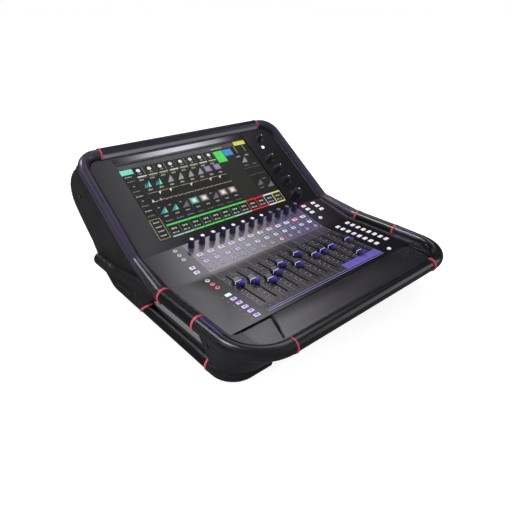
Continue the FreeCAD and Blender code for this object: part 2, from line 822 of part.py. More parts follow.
ring_r = dim.rail_r + dim.ring_up
top_ring_r = dim.top_r + dim.ring_up
slanted_ring = doc.addObject("Part::Common", "ring_slanted")
slanted_ring.Base = cylinder("ring_slanted_bar", ring_r, 90, lower(low_back_y - 45), (0, 1, 0))
slanted_ring.Tool = leaning_slab("ring_slanted_slab", slant_front_y + 0.02, dim.ring_w - 0.02)
front_ring = cylinder("ring_front_full", dim.corner_r + dim.ring_up, dim.thin_ring_w,
                      (-moulding_x, front_y, fader_z - 1), (1, 0, 0))
ring_rebate = box("ring_rebate", (60, 60, 60), (-(front_ring_x + 30), recess_y, recess_z))
rings = [
    cylinder("ring_upper_back", ring_r, dim.ring_w, upper(upper_back_y - ring_half), (0, 1, 0)),
    cylinder("ring_upper_front", ring_r, dim.ring_w, upper(upper_front_y - ring_half), (0, 1, 0)),
    cylinder("ring_lower_front", ring_r, dim.ring_w, lower(low_front_y - ring_half), (0, 1, 0)),
    cylinder("ring_top", top_ring_r, dim.thin_ring_w,
             on_top_rail(-(top_ring_x + thin_half)), (1, 0, 0)),
    slanted_ring,
    cut("ring_front", front_ring, ring_rebate),
]
piece(group("rail_rings", rings + mirrored(rings)))

# ---------------------------------------------------------------- cheeks: plate, web, back rails
plate = new_body("cheek_plate")
sketch = new_sketch(plate, "plate_outline", "YZ", (0, 0, -268.0))
# y, z: along the top from the front, down the back, forward along the bottom
polygon(sketch, [
    (-59.0, 88.9), (bend_y, fader_z), (bend2_y, bend2_z),
    screen_face.side(dim.screen_len - 3), screen_face.side(dim.screen_len + 1.0, -4.0),
    (262.5, 236), (277, 227.5), (291, 216), (302.5, 203.5), (311, 188.5), (313.5, 173),
    (311, 157.5), (303.5, 145.5), (289, 130), (270, 111), (251, 94), (236, 80.5), (231.5, 72),
    (224, 64), (214, 42),
    (188, 38), (150, 34), (60, 32), (10, 32), (-8, 48), (-30, 60), (-59, 71),
])
pad(plate, sketch, 18.2)
cheek_web = new_body("cheek_web")
sketch = new_sketch(cheek_web, "cheek_web_outline", "YZ", (0, 0, -277.0))
polygon(sketch, [
    (-59, 84), (40, 68), (130, 50), (140, 46), (118, 30), (60, 30), (12, 30),
    (-2, 44), (-27, 58), (-59, 73),
])
pad(cheek_web, sketch, 14)
branch_end = (-rail_x, 207.0, 49.0)
branch = bar_run("cheek_branch",
                 [(-rail_x, bend_y + 2.0, fader_z - 1.0), (-rail_x, 130.0, 51.0), branch_end],
                 [dim.rail_r] * 3, [60.0])
branch_ball = lay(solid("Sphere", "branch_ball", Radius=dim.rail_r), branch_end)
low_rail = bar_run("cheek_low_rail",
                   [lower(low_back_y - 40), lower(122.0), (-rail_x, 160.0, low_z + 26)],
                   [dim.rail_r] * 3, [34.0])
cheek_raw = fuse("cheek_raw", [plate, cheek_web] + branch + [branch_ball] + low_rail)

rail_space = fuse("rail_space", side_rail_run(
    "rail_space", upper(bend_y - 60), on_top_rail(-100), rail_gap))
cheek_ends = group("cheek_ends", [
    leaning_slab("cheek_low_end", slant_back_y, 80.0, forward=80.0),
    box("cheek_front_end", (60, 40, 60), (-(rail_x + 30), upper_back_y - 37.6, fader_z - 30)),
])
cheek_drill = fuse("cheek_drill", [
    screw_bar("cheek_drill_%d" % i, 1.6, 12, screw, 3) for i, screw in enumerate(CHEEK_SCREWS)
])
cheek = cut("cheek_beside_rail", cheek_raw, rail_space)
cheek = cut("cheek_trimmed", cheek, cheek_ends)
cheek_left = piece(cut("cheek_left", cheek, cheek_drill))
piece(mirror("cheek_right", cheek_left))

# the case and the housing give way to the bent rail and ring at the two upper corners
ring_space = cylinder("ring_space", top_ring_r + rail_gap, dim.thin_ring_w + 2 * rail_gap,
                      on_top_rail(-(top_ring_x + thin_half + rail_gap)), (1, 0, 0))
spaces = [rail_space, ring_space]
upper_space = group("upper_corner_space", spaces + mirrored(spaces))
piece(cut("base_chassis", chassis, upper_space))
piece(cut("rear_housing", housing, upper_space))

screws = [
    fuse("screw_%d" % i, [
        screw_bar("screw_head_%d" % i, 3.4, 1.6, screw, 1.65),
        screw_bar("screw_shank_%d" % i, 1.5, 8, screw, 0.06),
    ])
    for i, screw in enumerate(CHEEK_SCREWS + [WEB_SCREW])
]
piece(group("case_screws", screws + mirrored(screws)))

# ---------------------------------------------------------------- feet
piece(group("rubber_feet", [
    cone("foot", dim.foot_r - 1.5, dim.foot_r, dim.foot_ht - 0.02, (x, y, 0))
    for y in (-215.0, 165.0) for x in (-205.0, 205.0)
]))


# ---------------------------------------------------------------- sockets on the back wall
def socket_bar(name, radius, length, x, along, inside):
    # a cylinder running outward through the back wall from a depth inside it
    return cylinder(name, radius, length, back_face.point(x, along, inside), -back_face.normal)


def socket(x, along):
    barrel = socket_bar("socket_barrel", 10.4, 14.5, x, along, 12.0)
    flange = socket_bar("socket_flange", 13.0, 2.45, x, along, -0.05)
    bore = socket_bar("socket_bore", 8.2, 12.0, x, along, 8.0)
    return cut("socket", fuse("socket_solid", [barrel, flange]), bore)


piece(group("rear_connectors", [socket(x, along) for x, along in SOCKETS]))


# ---------------------------------------------------------------- fader modules
def fader_module(x):
    y = bend_y + dim.slot_along
    top_z = fader_z - under
    case = box("fader_case", (16, 134, 22), (x - 8, y - 67, top_z - 22))
    slot = box("fader_space", (3.2, 114, 20), (x - 1.6, y - 57, top_z - 19))
    return cut("fader_module", case, slot)


piece(group("fader_modules", [fader_module(x) for x in CHANNEL_X]))


# ---------------------------------------------------------------- encoder bodies under the panels
def encoder(face, x, along):
    case = box_on(face, "encoder_case", (12, 12, 8), x, along, -under - 8)
    collar = cylinder_on(face, "encoder_collar", 3.5, 3.6, x, along, -thick - 0.2)
    bore = cylinder_on(face, "encoder_bore", dim.shaft_r + dim.fit, 14, x, along, -under - 6.5)
    return cut("encoder", fuse("encoder_solid", [case, collar]), bore)


encoders = [encoder(mid_face, x, dim.encoder_along) for x in CHANNEL_X]
encoders += [encoder(screen_face, x, along) for x, along, radius, height in KNOBS]
piece(group("encoder_bodies", encoders))

# ---------------------------------------------------------------- circuit boards
# name, face, width, depth, middle x, middle along, up
BOARDS = [
    ("board_mid", mid_face, 320, 92, 0, 48, -12.4),
    ("board_mid_left", mid_face, 60, 92, -205, 48, -12.4),
    ("board_mid_right", mid_face, 62, 92, 205, 48, -12.4),
    ("board_fader_left", fader_face, 50, 160, -190, -90, -12.0),
    ("board_fader_right", fader_face, 64, 160, 202, -90, -12.0),
    ("board_screen", screen_face, 40, 226, 190, 120, -13.0),
]
board_thick = 1.6
boards = [
    box_on(face, name, (width, depth, board_thick), x, along, up)
    for name, face, width, depth, x, along, up in BOARDS
]
boards.append(box("board_main", (300, 170, board_thick), (-200, -60, dim.foot_ht + 10)))
piece(group("circuit_boards", boards))

# ---------------------------------------------------------------- power supply
supply_x, supply_ht = 165, 42
supply_z = floor_z + wall + 0.1
supply = new_body("power_supply")
sketch = new_sketch(supply, "supply_outline", "XY", (0, 0, supply_z))
rectangle(sketch, supply_x, 60, 96, 180)
pad(supply, sketch, supply_ht)
sketch = new_sketch(supply, "supply_vents", "XY", (0, 0, supply_z + supply_ht))
for i in range(9):
    rectangle(sketch, supply_x, -4 + 16 * i, 60, 6)
pocket(supply, sketch, 3, mid=False)
piece(supply)


# ---------------------------------------------------------------- keys
def key_piece(label, face, keys):
    body = new_body(label, face)
    sketch = new_sketch(body, label + "_tops", "XY", (0, 0, dim.key_up))
    draw_keys(sketch, keys)
    pad(body, sketch, dim.key_up + dim.key_down, flip=True)
    dress("Chamfer", body, label + "_rims", 0.5, lambda p: abs(p.z - num(dim.key_up)) < 1e-4)
    piece(body)


for label, face, keys in KEY_SETS:
    key_piece(label, face, keys)


# ---------------------------------------------------------------- fader caps
def fader_cap(label, x, along):
    # a dished block on a thin blade that reaches through the slot
    body = new_body(label, fader_face, x, along)
    half, top = dim.cap_len / 2, dim.cap_ht
    sketch = new_sketch(body, label + "_side", "YZ")
    polygon(sketch, [
        (-half, 1.2), (half, 1.2), (half - 0.6, top), (half - 3.4, top),
        (half * 0.28, top - 2.6), (-half * 0.28, top - 2.6), (-half + 3.4, top), (-half + 0.6, top),
    ])
    pad(body, sketch, dim.cap_w, mid=True)
    sketch = new_sketch(body, label + "_blade", "XY", (0, 0, 1.3))
    rectangle(sketch, 0, 0, 1.2, 11.4)
    pad(body, sketch, 16, flip=True)
    piece(body)


for i, (x, along) in enumerate(zip(CHANNEL_X, REST), start=1):
    fader_cap("fader_cap_%02d" % i, x, along)


# ---------------------------------------------------------------- knobs
def knob(label, face, x, along, radius, height, skirt_in, skirt_z, edge_in, top_in):
    # turned knob with its shaft; the _in values are how far the profile steps in from the radius
    body = new_body(label, face, x, along)
    sketch = new_sketch(body, label + "_profile", "XZ")
    polygon(sketch, [
        (0, -8.0), (dim.shaft_r, -8.0), (dim.shaft_r, 1.1), (radius, 1.1), (radius, 2.4),
        (radius - skirt_in, skirt_z), (radius - edge_in, height - 1.0),
        (radius - top_in, height), (0, height),
    ])
    turned = body.newObject("PartDesign::Revolution", label + "_turned")
    turned.Profile = sketch
    turned.ReferenceAxis = (sketch, ["V_Axis"])
    turned.Angle = 360.0
    body.Tip = turned
    piece(body)


for i, x in enumerate(CHANNEL_X, start=1):
    knob("encoder_knob_%02d" % i, mid_face, x, dim.encoder_along, dim.encoder_r, dim.encoder_ht,
         skirt_in=0.5, skirt_z=4.0, edge_in=1.3, top_in=2.0)
for i, (x, along, radius, height) in enumerate(KNOBS, start=1):
    knob("side_knob_%d" % i, screen_face, x, along, radius, height,
         skirt_in=1.0, skirt_z=3.2, edge_in=1.8, top_in=2.8)

# ---------------------------------------------------------------- check and export
doc.recompute()
faults = [obj.Label for obj in doc.Objects if "Invalid" in obj.State or "Error" in obj.State]
for obj in PIECES:
    shape = obj.Shape
    if shape.isNull() or not shape.isValid() or not shape.Solids:
        faults.append(obj.Label)
if faults:
    raise SystemExit("faulty objects: " + ", ".join(faults))

os.makedirs("parts", exist_ok=True)
for obj in PIECES:
    obj.Shape.exportStep("parts/%s.step" % obj.Label)
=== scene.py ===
# A twelve-channel fader desk with a display, on a white floor.
# X runs to the right, Y to the back, Z up. Three panels follow one another from front to back:
# a level fader panel, a shallow middle panel with the encoders and a steeper screen panel.
# Sizes are in millimetres and become metres through MM; shader positions are in metres.
import bpy, bmesh, math, random
from functools import reduce
from mathutils import Vector, Matrix


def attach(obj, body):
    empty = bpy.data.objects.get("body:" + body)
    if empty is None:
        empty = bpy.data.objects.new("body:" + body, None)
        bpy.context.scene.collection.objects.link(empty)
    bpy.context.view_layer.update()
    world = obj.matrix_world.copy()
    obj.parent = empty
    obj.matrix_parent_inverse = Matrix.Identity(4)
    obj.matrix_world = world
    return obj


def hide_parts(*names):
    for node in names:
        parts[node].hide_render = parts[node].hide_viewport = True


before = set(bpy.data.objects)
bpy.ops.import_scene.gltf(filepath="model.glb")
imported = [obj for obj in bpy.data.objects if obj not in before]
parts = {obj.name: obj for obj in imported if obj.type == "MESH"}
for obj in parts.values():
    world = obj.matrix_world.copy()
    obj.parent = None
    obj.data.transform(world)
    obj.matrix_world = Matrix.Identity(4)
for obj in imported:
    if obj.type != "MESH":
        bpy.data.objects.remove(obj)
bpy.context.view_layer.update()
random.seed(7)
scene = bpy.context.scene
MM = 0.001

# ------------------------------------------------------------------ panel planes
MIDDLE_TILT, SCREEN_TILT = math.radians(11.7), math.radians(34.8)
MIDDLE_DEPTH = 97.2
MIDDLE_Y, MIDDLE_Z = -46.5, 89.0  # fold between the fader and the middle panel
SCREEN_Y = MIDDLE_Y + MIDDLE_DEPTH * math.cos(MIDDLE_TILT)
SCREEN_Z = MIDDLE_Z + MIDDLE_DEPTH * math.sin(MIDDLE_TILT)


def tilted_plane(start_y, start_z, tilt):
    """Placement on a plane: x across, a distance up the slope, a height above the surface."""
    def place(x, along, height):
        y = start_y + along * math.cos(tilt) - height * math.sin(tilt)
        z = start_z + along * math.sin(tilt) + height * math.cos(tilt)
        return Vector((x, y, z)) * MM
    return place


on_fader = tilted_plane(MIDDLE_Y, MIDDLE_Z, 0.0)
on_middle = tilted_plane(MIDDLE_Y, MIDDLE_Z, MIDDLE_TILT)
on_screen = tilted_plane(SCREEN_Y, SCREEN_Z, SCREEN_TILT)

# ------------------------------------------------------------------ control layout
PITCH = 26.5
CHANNELS = [PITCH * (i - 5.5) for i in range(12)]
DIVIDERS = [PITCH * (i - 6) for i in range(13)]
FIRST_TINTED = 8  # the last four channels are tinted
FADER_REST = [-68.0, -79.0, -97.0, -83.0, -67.0, -88.0,
              -56.5, -82.5, -81.5, -80.0, -133.0, -81.0]
LEFT_KEYS_X = -182.0
SIDE_PITCH = 15.35  # between side keys of the fader panel
LEFT_ROW_Y = [-84.4 - SIDE_PITCH * i for i in range(6)]
RIGHT_ROW_Y = [-23.0 - SIDE_PITCH * i for i in range(8)]
# x, distance up the screen panel, radius, height
SIDE_KNOBS = [(200.0, 213.0, 6.5, 12.0), (188.0, 147.0, 8.5, 14.0), (189.5, 112.0, 8.5, 14.0),
              (190.0, 74.0, 8.5, 14.0), (188.0, 28.5, 12.5, 16.0)]


# ------------------------------------------------------------------ shader helpers
def lin(hex_colour):
    """Linear red, green and blue of a hex colour."""
    channels = [int(hex_colour[i:i + 2], 16) / 255 for i in (1, 3, 5)]
    return tuple(v / 12.92 if v <= 0.04045 else ((v + 0.055) / 1.055) ** 2.4 for v in channels)


def dim(hex_colour, factor):
    return tuple(v * factor for v in lin(hex_colour))


def rgba(colour):
    return (*(lin(colour) if isinstance(colour, str) else colour), 1)


class Graph:
    """Adds and links the shader nodes of one material or world."""

    def __init__(self, tree):
        self.tree = tree
        self.shader = tree.nodes.get("Principled BSDF")

    def feed(self, socket, value):
        if isinstance(value, bpy.types.NodeSocket):
            self.tree.links.new(value, socket)
        else:
            socket.default_value = rgba(value) if socket.type == "RGBA" else value

    def node(self, kind, inputs=None, **settings):
        made = self.tree.nodes.new("ShaderNode" + kind)
        for key, value in settings.items():
            setattr(made, key, value)
        for key, value in (inputs or {}).items():
            self.feed(made.inputs[key], value)
        return made

    def shade(self, inputs):
        for key, value in inputs.items():
            self.feed(self.shader.inputs[key], value)

    def base_colour(self):
        return self.shader.inputs["Base Color"].links[0].from_socket

    def output(self, result):
        self.feed(self.tree.nodes["Material Output"].inputs["Surface"], result)

    def axes(self, coord="Object"):
        """X, Y and Z of a texture coordinate."""
        vector = self.node("TexCoord").outputs[coord]
        return self.node("SeparateXYZ", {"Vector": vector}).outputs[:]

    def noise(self, scale, detail):
        vector = self.node("TexCoord").outputs["Object"]
        inputs = {"Vector": vector, "Scale": scale, "Detail": detail}
        return self.node("TexNoise", inputs).outputs["Fac"]

    def ramp(self, factor, stops):
        made = self.node("ValToRGB", {"Fac": factor})
        elements = made.color_ramp.elements
        while len(elements) < len(stops):
            elements.new(0.5)
        for element, (position, colour) in zip(elements, stops):
            element.position = position
            element.color = rgba(colour)
        return made.outputs["Color"]

    def mottle(self, dark, light, scale, detail):
        return self.ramp(self.noise(scale, detail), [(0.3, dark), (0.7, light)])

    def remap(self, value, from_min, from_max, to_min=0.0, to_max=1.0):
        inputs = {"Value": value, "From Min": from_min, "From Max": from_max,
                  "To Min": to_min, "To Max": to_max}
        return self.node("MapRange", inputs).outputs[0]

    def vary(self, scale, low, high):
        """A fine noise spread between two values."""
        return self.remap(self.noise(scale, 5.0), 0.3, 0.7, low, high)

    def math(self, operation, *values):
        return self.node("Math", dict(enumerate(values)), operation=operation).outputs[0]

    def product(self, *factors):
        return reduce(lambda a, b: self.math("MULTIPLY", a, b), factors)

    def limits(self, value, low, high):
        """The two tests for a value between low and high, in millimetres."""
        return [self.math("GREATER_THAN", value, low * MM),
                self.math("LESS_THAN", value, high * MM)]

    def mix(self, factor, first, second, blend="MIX"):
        inputs = {"Fac": factor, "Color1": first, "Color2": second}
        return self.node("MixRGB", inputs, blend_type=blend).outputs["Color"]

    def bump(self, height, strength, distance):
        inputs = {"Height": height, "Strength": strength, "Distance": distance}
        return self.node("Bump", inputs)

    def rounded_normal(self, radius):
        return self.node("Bevel", {"Radius": radius * MM}, samples=4).outputs["Normal"]


def new_material(name):
    material = bpy.data.materials.new(name)
    material.use_nodes = True
    return material, Graph(material.node_tree)


def surface(name, colour, roughness, dark=None, grain=900.0, bump=0.06, spread=0.06, ior=1.5,
            coat=0.0, specular=0.5, metal=0.0, rounding=0.0):
    """Mottled, finely grained solid. With no colour the caller feeds the base colour."""
    material, graph = new_material(name)
    if colour:
        graph.shade({"Base Color": graph.mottle(dark or dim(colour, 0.72), colour, 7.0, 4.0)})
    relief = graph.bump(graph.noise(grain, 2.0), bump, 0.0006)
    if rounding > 0:
        graph.feed(relief.inputs["Normal"], graph.rounded_normal(rounding))
    low, high = max(0.02, roughness - spread), min(1, roughness + spread)
    graph.shade({
        "Roughness": graph.vary(22.0, low, high),
        "IOR": ior,
        "Specular IOR Level": specular,
        "Metallic": metal,
        "Coat Weight": coat,
        "Coat Roughness": 0.12,
        "Normal": relief.outputs["Normal"],
    })
    return material


def glow(name, colour, power, body="#050505"):
    material, graph = new_material(name)
    graph.shade({
        "Base Color": body,
        "Roughness": 0.5,
        "Emission Color": graph.mottle(dim(colour, 0.82), colour, 160.0, 3.0),
        "Emission Strength": power,
    })
    return material


# power adds a glow in the paint's own colour: light from within on the legends of the lit keys, a
# painted glow that brightens the other marks.
def paint(name, colour, roughness=0.5, power=0.0):
    material, graph = new_material(name)
    mottled = graph.mottle(dim(colour, 0.8), colour, 300.0, 3.0)
    graph.shade({"Base Color": mottled, "Roughness": roughness})
    if power:
        graph.shade({"Emission Color": mottled, "Emission Strength": power})
    return material


# ------------------------------------------------------------------ mesh helpers
def make(name, points, faces, materials, body="case"):
    mesh = bpy.data.meshes.new(name)
    mesh.from_pydata([tuple(point) for point in points], [], faces)
    for material in materials:
        mesh.materials.append(material)
    made = bpy.data.objects.new(name, mesh)
    scene.collection.objects.link(made)
    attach(made, body)
    return made


# bottom and top height above the surface
PRINT = (0, 0.05)
KEY_TOP = 1.6
KEY_FIELD = (KEY_TOP, 1.64)
KEY_SIGN = (KEY_TOP, 1.7)


class Plates:
    """Thin solid prints and tiles laid on a plane, joined in one object.

    A plate without a material takes the first one; levels are its two heights."""

    def __init__(self, name, place, materials, slot, body="case"):
        self.name, self.place, self.materials = name, place, materials
        self.slot, self.body = slot, body
        self.points, self.faces, self.indices = [], [], []

    def poly(self, outline, material=None, levels=PRINT):
        n, start = len(outline), len(self.points)
        pairs = zip(outline, outline[1:] + outline[:1])
        if sum(a[0] * b[1] - b[0] * a[1] for a, b in pairs) < 0:
            outline = outline[::-1]  # counter-clockwise keeps the faces outward
        for height in levels:
            self.points += [self.place(x, y, height) for x, y in outline]
        self.faces.append([start + n + k for k in range(n)])
        self.faces.append([start + n - 1 - k for k in range(n)])
        for k in range(n):
            after = (k + 1) % n
            self.faces.append([start + k, start + after, start + n + after, start + n + k])
        index = self.materials.index(material) if material else 0
        self.indices += [index] * (n + 2)

    def rect(self, x0, y0, x1, y1, material=None, levels=PRINT):
        self.poly([(x0, y0), (x1, y0), (x1, y1), (x0, y1)], material, levels)

    def disc(self, x, y, radius, material=None, levels=PRINT, sides=12):
        angles = [2 * math.pi * k / sides for k in range(sides)]
        outline = [(x + radius * math.cos(a), y + radius * math.sin(a)) for a in angles]
        self.poly(outline, material, levels)

    def line(self, path, width, material=None, levels=PRINT):
        for a, b in zip(path, path[1:]):
            along = Vector((b[0] - a[0], b[1] - a[1])).normalized()
            dx, dy = -along.y * (width / 2), along.x * (width / 2)
            self.poly([(a[0] - dx, a[1] - dy), (b[0] - dx, b[1] - dy),
                       (b[0] + dx, b[1] + dy), (a[0] + dx, a[1] + dy)], material, levels)

    def done(self):
        made = make(self.name, self.points, self.faces, self.materials, self.body)
        for polygon, index in zip(made.data.polygons, self.indices):
            polygon.material_index = index
        made.data.update()


def dress(part, material):
    """Give a loaded part one material, smooth faces and crisp edges."""
    piece = parts[part]
    piece.data.materials.clear()
    piece.data.materials.append(material)
    for polygon in piece.data.polygons:
        polygon.use_smooth = True
        polygon.material_index = 0
    weld = piece.modifiers.new("weld", "WELD")
    weld.merge_threshold = 2e-6
    split = piece.modifiers.new("split", "EDGE_SPLIT")
    split.split_angle = math.radians(32.0)


def coat_parts(names, material_name, colour, **look):
    """Make a surface and dress the space-separated parts in it."""
    material = surface(material_name, colour, **look)
    for name in names.split():
        dress(name, material)
    return material


def numbered(prefix, count, digits=2):
    return " ".join(f"{prefix}_{i + 1:0{digits}d}" for i in range(count))


# ------------------------------------------------------------------ control panel
def panel_material():
    """Satin black sheet with a lighter channel field, violet over the last four channels."""
    material, graph = new_material("panel_satin")
    x, y, _ = graph.axes()

    def band(value, low, high):
        return graph.product(*graph.limits(value, low, high))

    field_x = band(x, -160.2, 160.2)
    on_mid = graph.math("GREATER_THAN", y, MIDDLE_Y * MM)
    middle_field = graph.product(field_x, on_mid)
    fader_field = graph.product(field_x, band(y, MIDDLE_Y - 162.5, MIDDLE_Y))
    last_four = band(x, 53.0, 160.2)
    top_block = graph.product(last_four, band(y, MIDDLE_Y - 27.0, MIDDLE_Y))
    speck = graph.noise(1400.0, 2.0)
    colour = graph.mottle("#161417", "#1a181b", 9.0, 4.0)
    for mask, dark, light in (
        (fader_field, "#2a282b", "#3a383b"),
        (middle_field, "#474348", "#5a565b"),
        (graph.product(last_four, on_mid, 0.85), "#3d3852", "#4f4968"),
        (top_block, "#3a373e", "#47434d"),
    ):
        colour = graph.mix(mask, colour, graph.ramp(speck, [(0.35, dark), (0.65, light)]))
    relief = graph.bump(speck, strength=0.05, distance=0.0004)
    graph.shade({
        "Base Color": colour,
        "Roughness": graph.vary(25.0, 0.13, 0.17),
        "IOR": 1.6,
        "Normal": relief.outputs["Normal"],
    })
    return material


dress("control_panel", panel_material())


# ------------------------------------------------------------------ local shading of the parts
def glow_painted_on_side_walls(material):
    """Painted light: an even pale glow on the outer side walls, standing in for the light on the
    wall seen through the grip openings, fading out to the front and the back.
    """
    graph = Graph(material.node_tree)
    x, y, _ = graph.axes()
    mask = graph.product(
        graph.remap(graph.math("ABSOLUTE", x), 0.2476, 0.2480),
        graph.remap(y, -0.222, -0.216),
        graph.remap(y, 0.02, 0.06, 1.0, 0.0),
    )
    graph.shade({
        "Emission Color": (0.98, 0.97, 1.0),
        "Emission Strength": graph.math("MULTIPLY", mask, 0.165),
    })


def paint_cap_shade_and_glow(material):
    """Painted shade and light: dark back half and skirt, violet crown growing brighter to the
    right, and an even glow over the whole cap.
    """
    graph = Graph(material.node_tree)
    x, y, z = graph.axes("Generated")
    front = graph.remap(y, 0.52, 0.46)
    right = graph.remap(x, 0.30, 0.75, 0.22, 1.0)
    high = graph.remap(z, 0.72, 0.86)
    colour = graph.mix(graph.product(front, right, high), "#100e1c", graph.base_colour())
    graph.shade({"Base Color": colour, "Emission Color": colour, "Emission Strength": 0.36})


def paint_shade_and_violet_on_side_rails(material):
    """Painted shade and reflection: the front of the left rail is a darker, neutral black;
    elsewhere the rails keep their violet base colour, a painted violet reflection.
    """
    graph = Graph(material.node_tree)
    x, y, _ = graph.axes()
    violet_reflection_mask = graph.math("MAXIMUM", graph.remap(y, -0.03, 0.04),
                        graph.math("GREATER_THAN", x, 0.0))
    graph.shade({"Base Color": graph.mix(violet_reflection_mask, "#19171a", graph.base_colour())})


def paint_light_band_on_top_rail(material):
    """Painted light: a paler base colour where the surface turns down, standing in for a light
    band; less reflective away from the front face.
    """
    graph = Graph(material.node_tree)
    _, y, z = graph.axes("Normal")
    downward_painted_light = graph.remap(z, 0.22, -0.10)
    graph.shade({
        "IOR": graph.remap(y, -0.80, -0.60, 1.5, 1.12),
        "Base Color": graph.mix(downward_painted_light, graph.base_colour(), "#7d7c84"),
    })


def paint_violet_reflection_on_corners(material):
    """Painted violet reflection on the inner side of the upper tube, stronger on the left."""
    graph = Graph(material.node_tree)
    x, y, z = graph.axes()
    distance = graph.math("ABSOLUTE", x)
    mask = graph.product(
        graph.remap(distance, 0.2675, 0.2705, 1.0, 0.0),
        graph.remap(distance, 0.250, 0.252),
        graph.remap(y, -0.228, -0.215),
        graph.remap(z, 0.088, 0.094),
    )
    violet = graph.ramp(graph.remap(x, -0.1, 0.1), [(0.0, "#302a56"), (1.0, "#1e1a33")])
    graph.shade({"Base Color": graph.mix(mask, graph.base_colour(), violet)})


def gloss_right_grips_for_highlight(material):
    """Coat weight rises to the right so that only the right grips show the highlight streak, a
    painted highlight placed by position.
    """
    graph = Graph(material.node_tree)
    x, _, _ = graph.axes()
    graph.shade({"Coat Weight": graph.remap(x, -0.1, 0.1, 0.03, 0.5)})


# ------------------------------------------------------------------ plain finishes of the parts
coat_parts("screen_panel", "bezel_satin", "#171519", roughness=0.18, grain=1400, bump=0.02,
           ior=1.6, spread=0.02, rounding=0.5)
glow_painted_on_side_walls(coat_parts("base_chassis", "case_paint", "#6c6b6e", roughness=0.6,
                            dark="#646366", grain=1100, bump=0.08, specular=0.2, rounding=0.6))
coat_parts("rear_housing", "housing_black", "#1b191b", roughness=0.5, grain=1300, bump=0.15,
           rounding=1.0)
coat_parts("cheek_left cheek_right", "cheek_moulding", "#131112", roughness=0.46,
           dark="#0f0d0e", grain=1500, bump=0.16, specular=0.35, rounding=2.2)
# The violet of the rail colour is a painted reflection of violet light.
paint_shade_and_violet_on_side_rails(coat_parts("rail_top rail_left rail_right", "rail_coat", "#2d2838",
                            roughness=0.3, dark="#252131", grain=1500, bump=0.03, coat=0.15))
paint_violet_reflection_on_corners(coat_parts("rail_front corner_left corner_right", "corner_moulding", "#131215",
                        roughness=0.24, dark="#0f0e10", grain=1500, bump=0.03, rounding=2.0,
                        spread=0.03))
gloss_right_grips_for_highlight(coat_parts("hand_grips", "grip_rubber", "#080809", roughness=0.36, grain=1900,
                        bump=0.14, specular=0.24, spread=0.03))
coat_parts("rail_rings", "ring_red", "#ad4755", roughness=0.4, dark="#9c3c49", bump=0.03,
           rounding=0.5, specular=0.35)
coat_parts("front_apron", "apron_paint", "#1b1a1c", roughness=0.26, dark="#161517", grain=1100,
           bump=0.07, ior=1.7, spread=0.03)
coat_parts("rubber_feet", "foot_rubber", "#101010", roughness=0.8, bump=0.2)
coat_parts("case_screws", "screw_steel", "#5b5b5e", roughness=0.35, metal=0.9, grain=500,
           bump=0.08, rounding=0.3)
coat_parts("rear_connectors", "socket_nickel", "#a9a9ac", roughness=0.3, metal=1.0, grain=600,
           bump=0.05, rounding=0.3)
coat_parts("fader_modules encoder_bodies", "module_plastic", "#161616", roughness=0.6)
coat_parts("circuit_boards", "board_green", "#0d3b22", roughness=0.4, grain=300, bump=0.2)
coat_parts("power_supply", "supply_sheet", "#9b9ba0", roughness=0.35, metal=0.8, grain=700,
           bump=0.08)
knob_soft = coat_parts(numbered("side_knob", 5, digits=1), "knob_soft", "#1a1820",
                       roughness=0.42, dark="#13121a", grain=1300, bump=0.08, rounding=0.5)
coat_parts(numbered("encoder_knob", 12), "encoder_soft", "#241d42", roughness=0.34,
           dark="#141024", bump=0.1, coat=0.3, rounding=0.6)
paint_cap_shade_and_glow(coat_parts(numbered("fader_cap", 12), "cap_indigo", "#4331a4", roughness=0.26,
                      dark="#35278a", grain=700, bump=0.03, coat=0.6, rounding=0.9))
# The top rail is dressed over its first coat, so it carries both modifiers twice.
paint_light_band_on_top_rail(coat_parts("rail_top", "top_rail_coat", "#24222b", roughness=0.24,
                          dark="#1f1d26", grain=1500, bump=0.02, spread=0.03))


# ------------------------------------------------------------------ lit keys
def key_material(name, default, power=0.25, zones=()):
    """Lit key plastic. A zone is its (axis, low, high) limits in mm and a colour;
    later zones lie over earlier ones."""
    material, graph = new_material(name)
    position = dict(zip("XYZ", graph.axes()))
    colour = graph.mottle(dim(default, 0.86), default, 260.0, 2.0)
    for bounds, zone_colour in zones:
        tests = [test for axis, low, high in bounds
                 for test in graph.limits(position[axis], low, high)]
        colour = graph.mix(graph.product(*tests), colour, zone_colour)
    graph.shade({
        "Base Color": colour,
        "Emission Color": colour,
        "Emission Strength": power,
        "Roughness": 0.4,
        "Normal": graph.rounded_normal(0.4),
    })
    return material


def around(x, before, after):
    return ("X", x + before, x + after)


LEFT_KEYS = ("X", -200, -150)
dress("keys_mute", key_material("key_mute", "#cbc3da", zones=[
    ([("X", 60, 200)], "#d3cfdc"),
    ([around(CHANNELS[10], -9, 9)], "#f7a9b6"),
]))
dress("keys_select", key_material("key_select", "#b5b0dc", zones=[
    ([("X", -20, 200)], "#b9c6dc"),
    ([around(CHANNELS[10], 18, 40)], "#e2eaf0"),
]))
dress("keys_listen", key_material("key_listen", "#a59ab8", power=0.15, zones=[
    ([around(CHANNELS[7], -9, 9)], "#e3b3bb"),
]))
dress("keys_mid_side", key_material("key_mid_side", "#e4e0e4", power=0.3, zones=[
    ([LEFT_KEYS], "#9aa19f"),
    ([LEFT_KEYS, ("Y", -60, -8)], "#cfc8dc"),
    ([("X", 170, 190), ("Y", 30, 60)], "#eec2c4"),
]))
dress("keys_fader_side", key_material("key_fader_side", "#dcd8e2", power=0.3, zones=[
    ([LEFT_KEYS], "#c5b2ea"),
    ([LEFT_KEYS, ("Y", MIDDLE_Y - 90, MIDDLE_Y - 78)], "#c8f2d6"),
    ([LEFT_KEYS, ("Y", MIDDLE_Y - 60, MIDDLE_Y - 30)], "#d4687c"),
    ([LEFT_KEYS, ("Y", MIDDLE_Y - 30, MIDDLE_Y - 10)], "#b9b6b6"),
]))
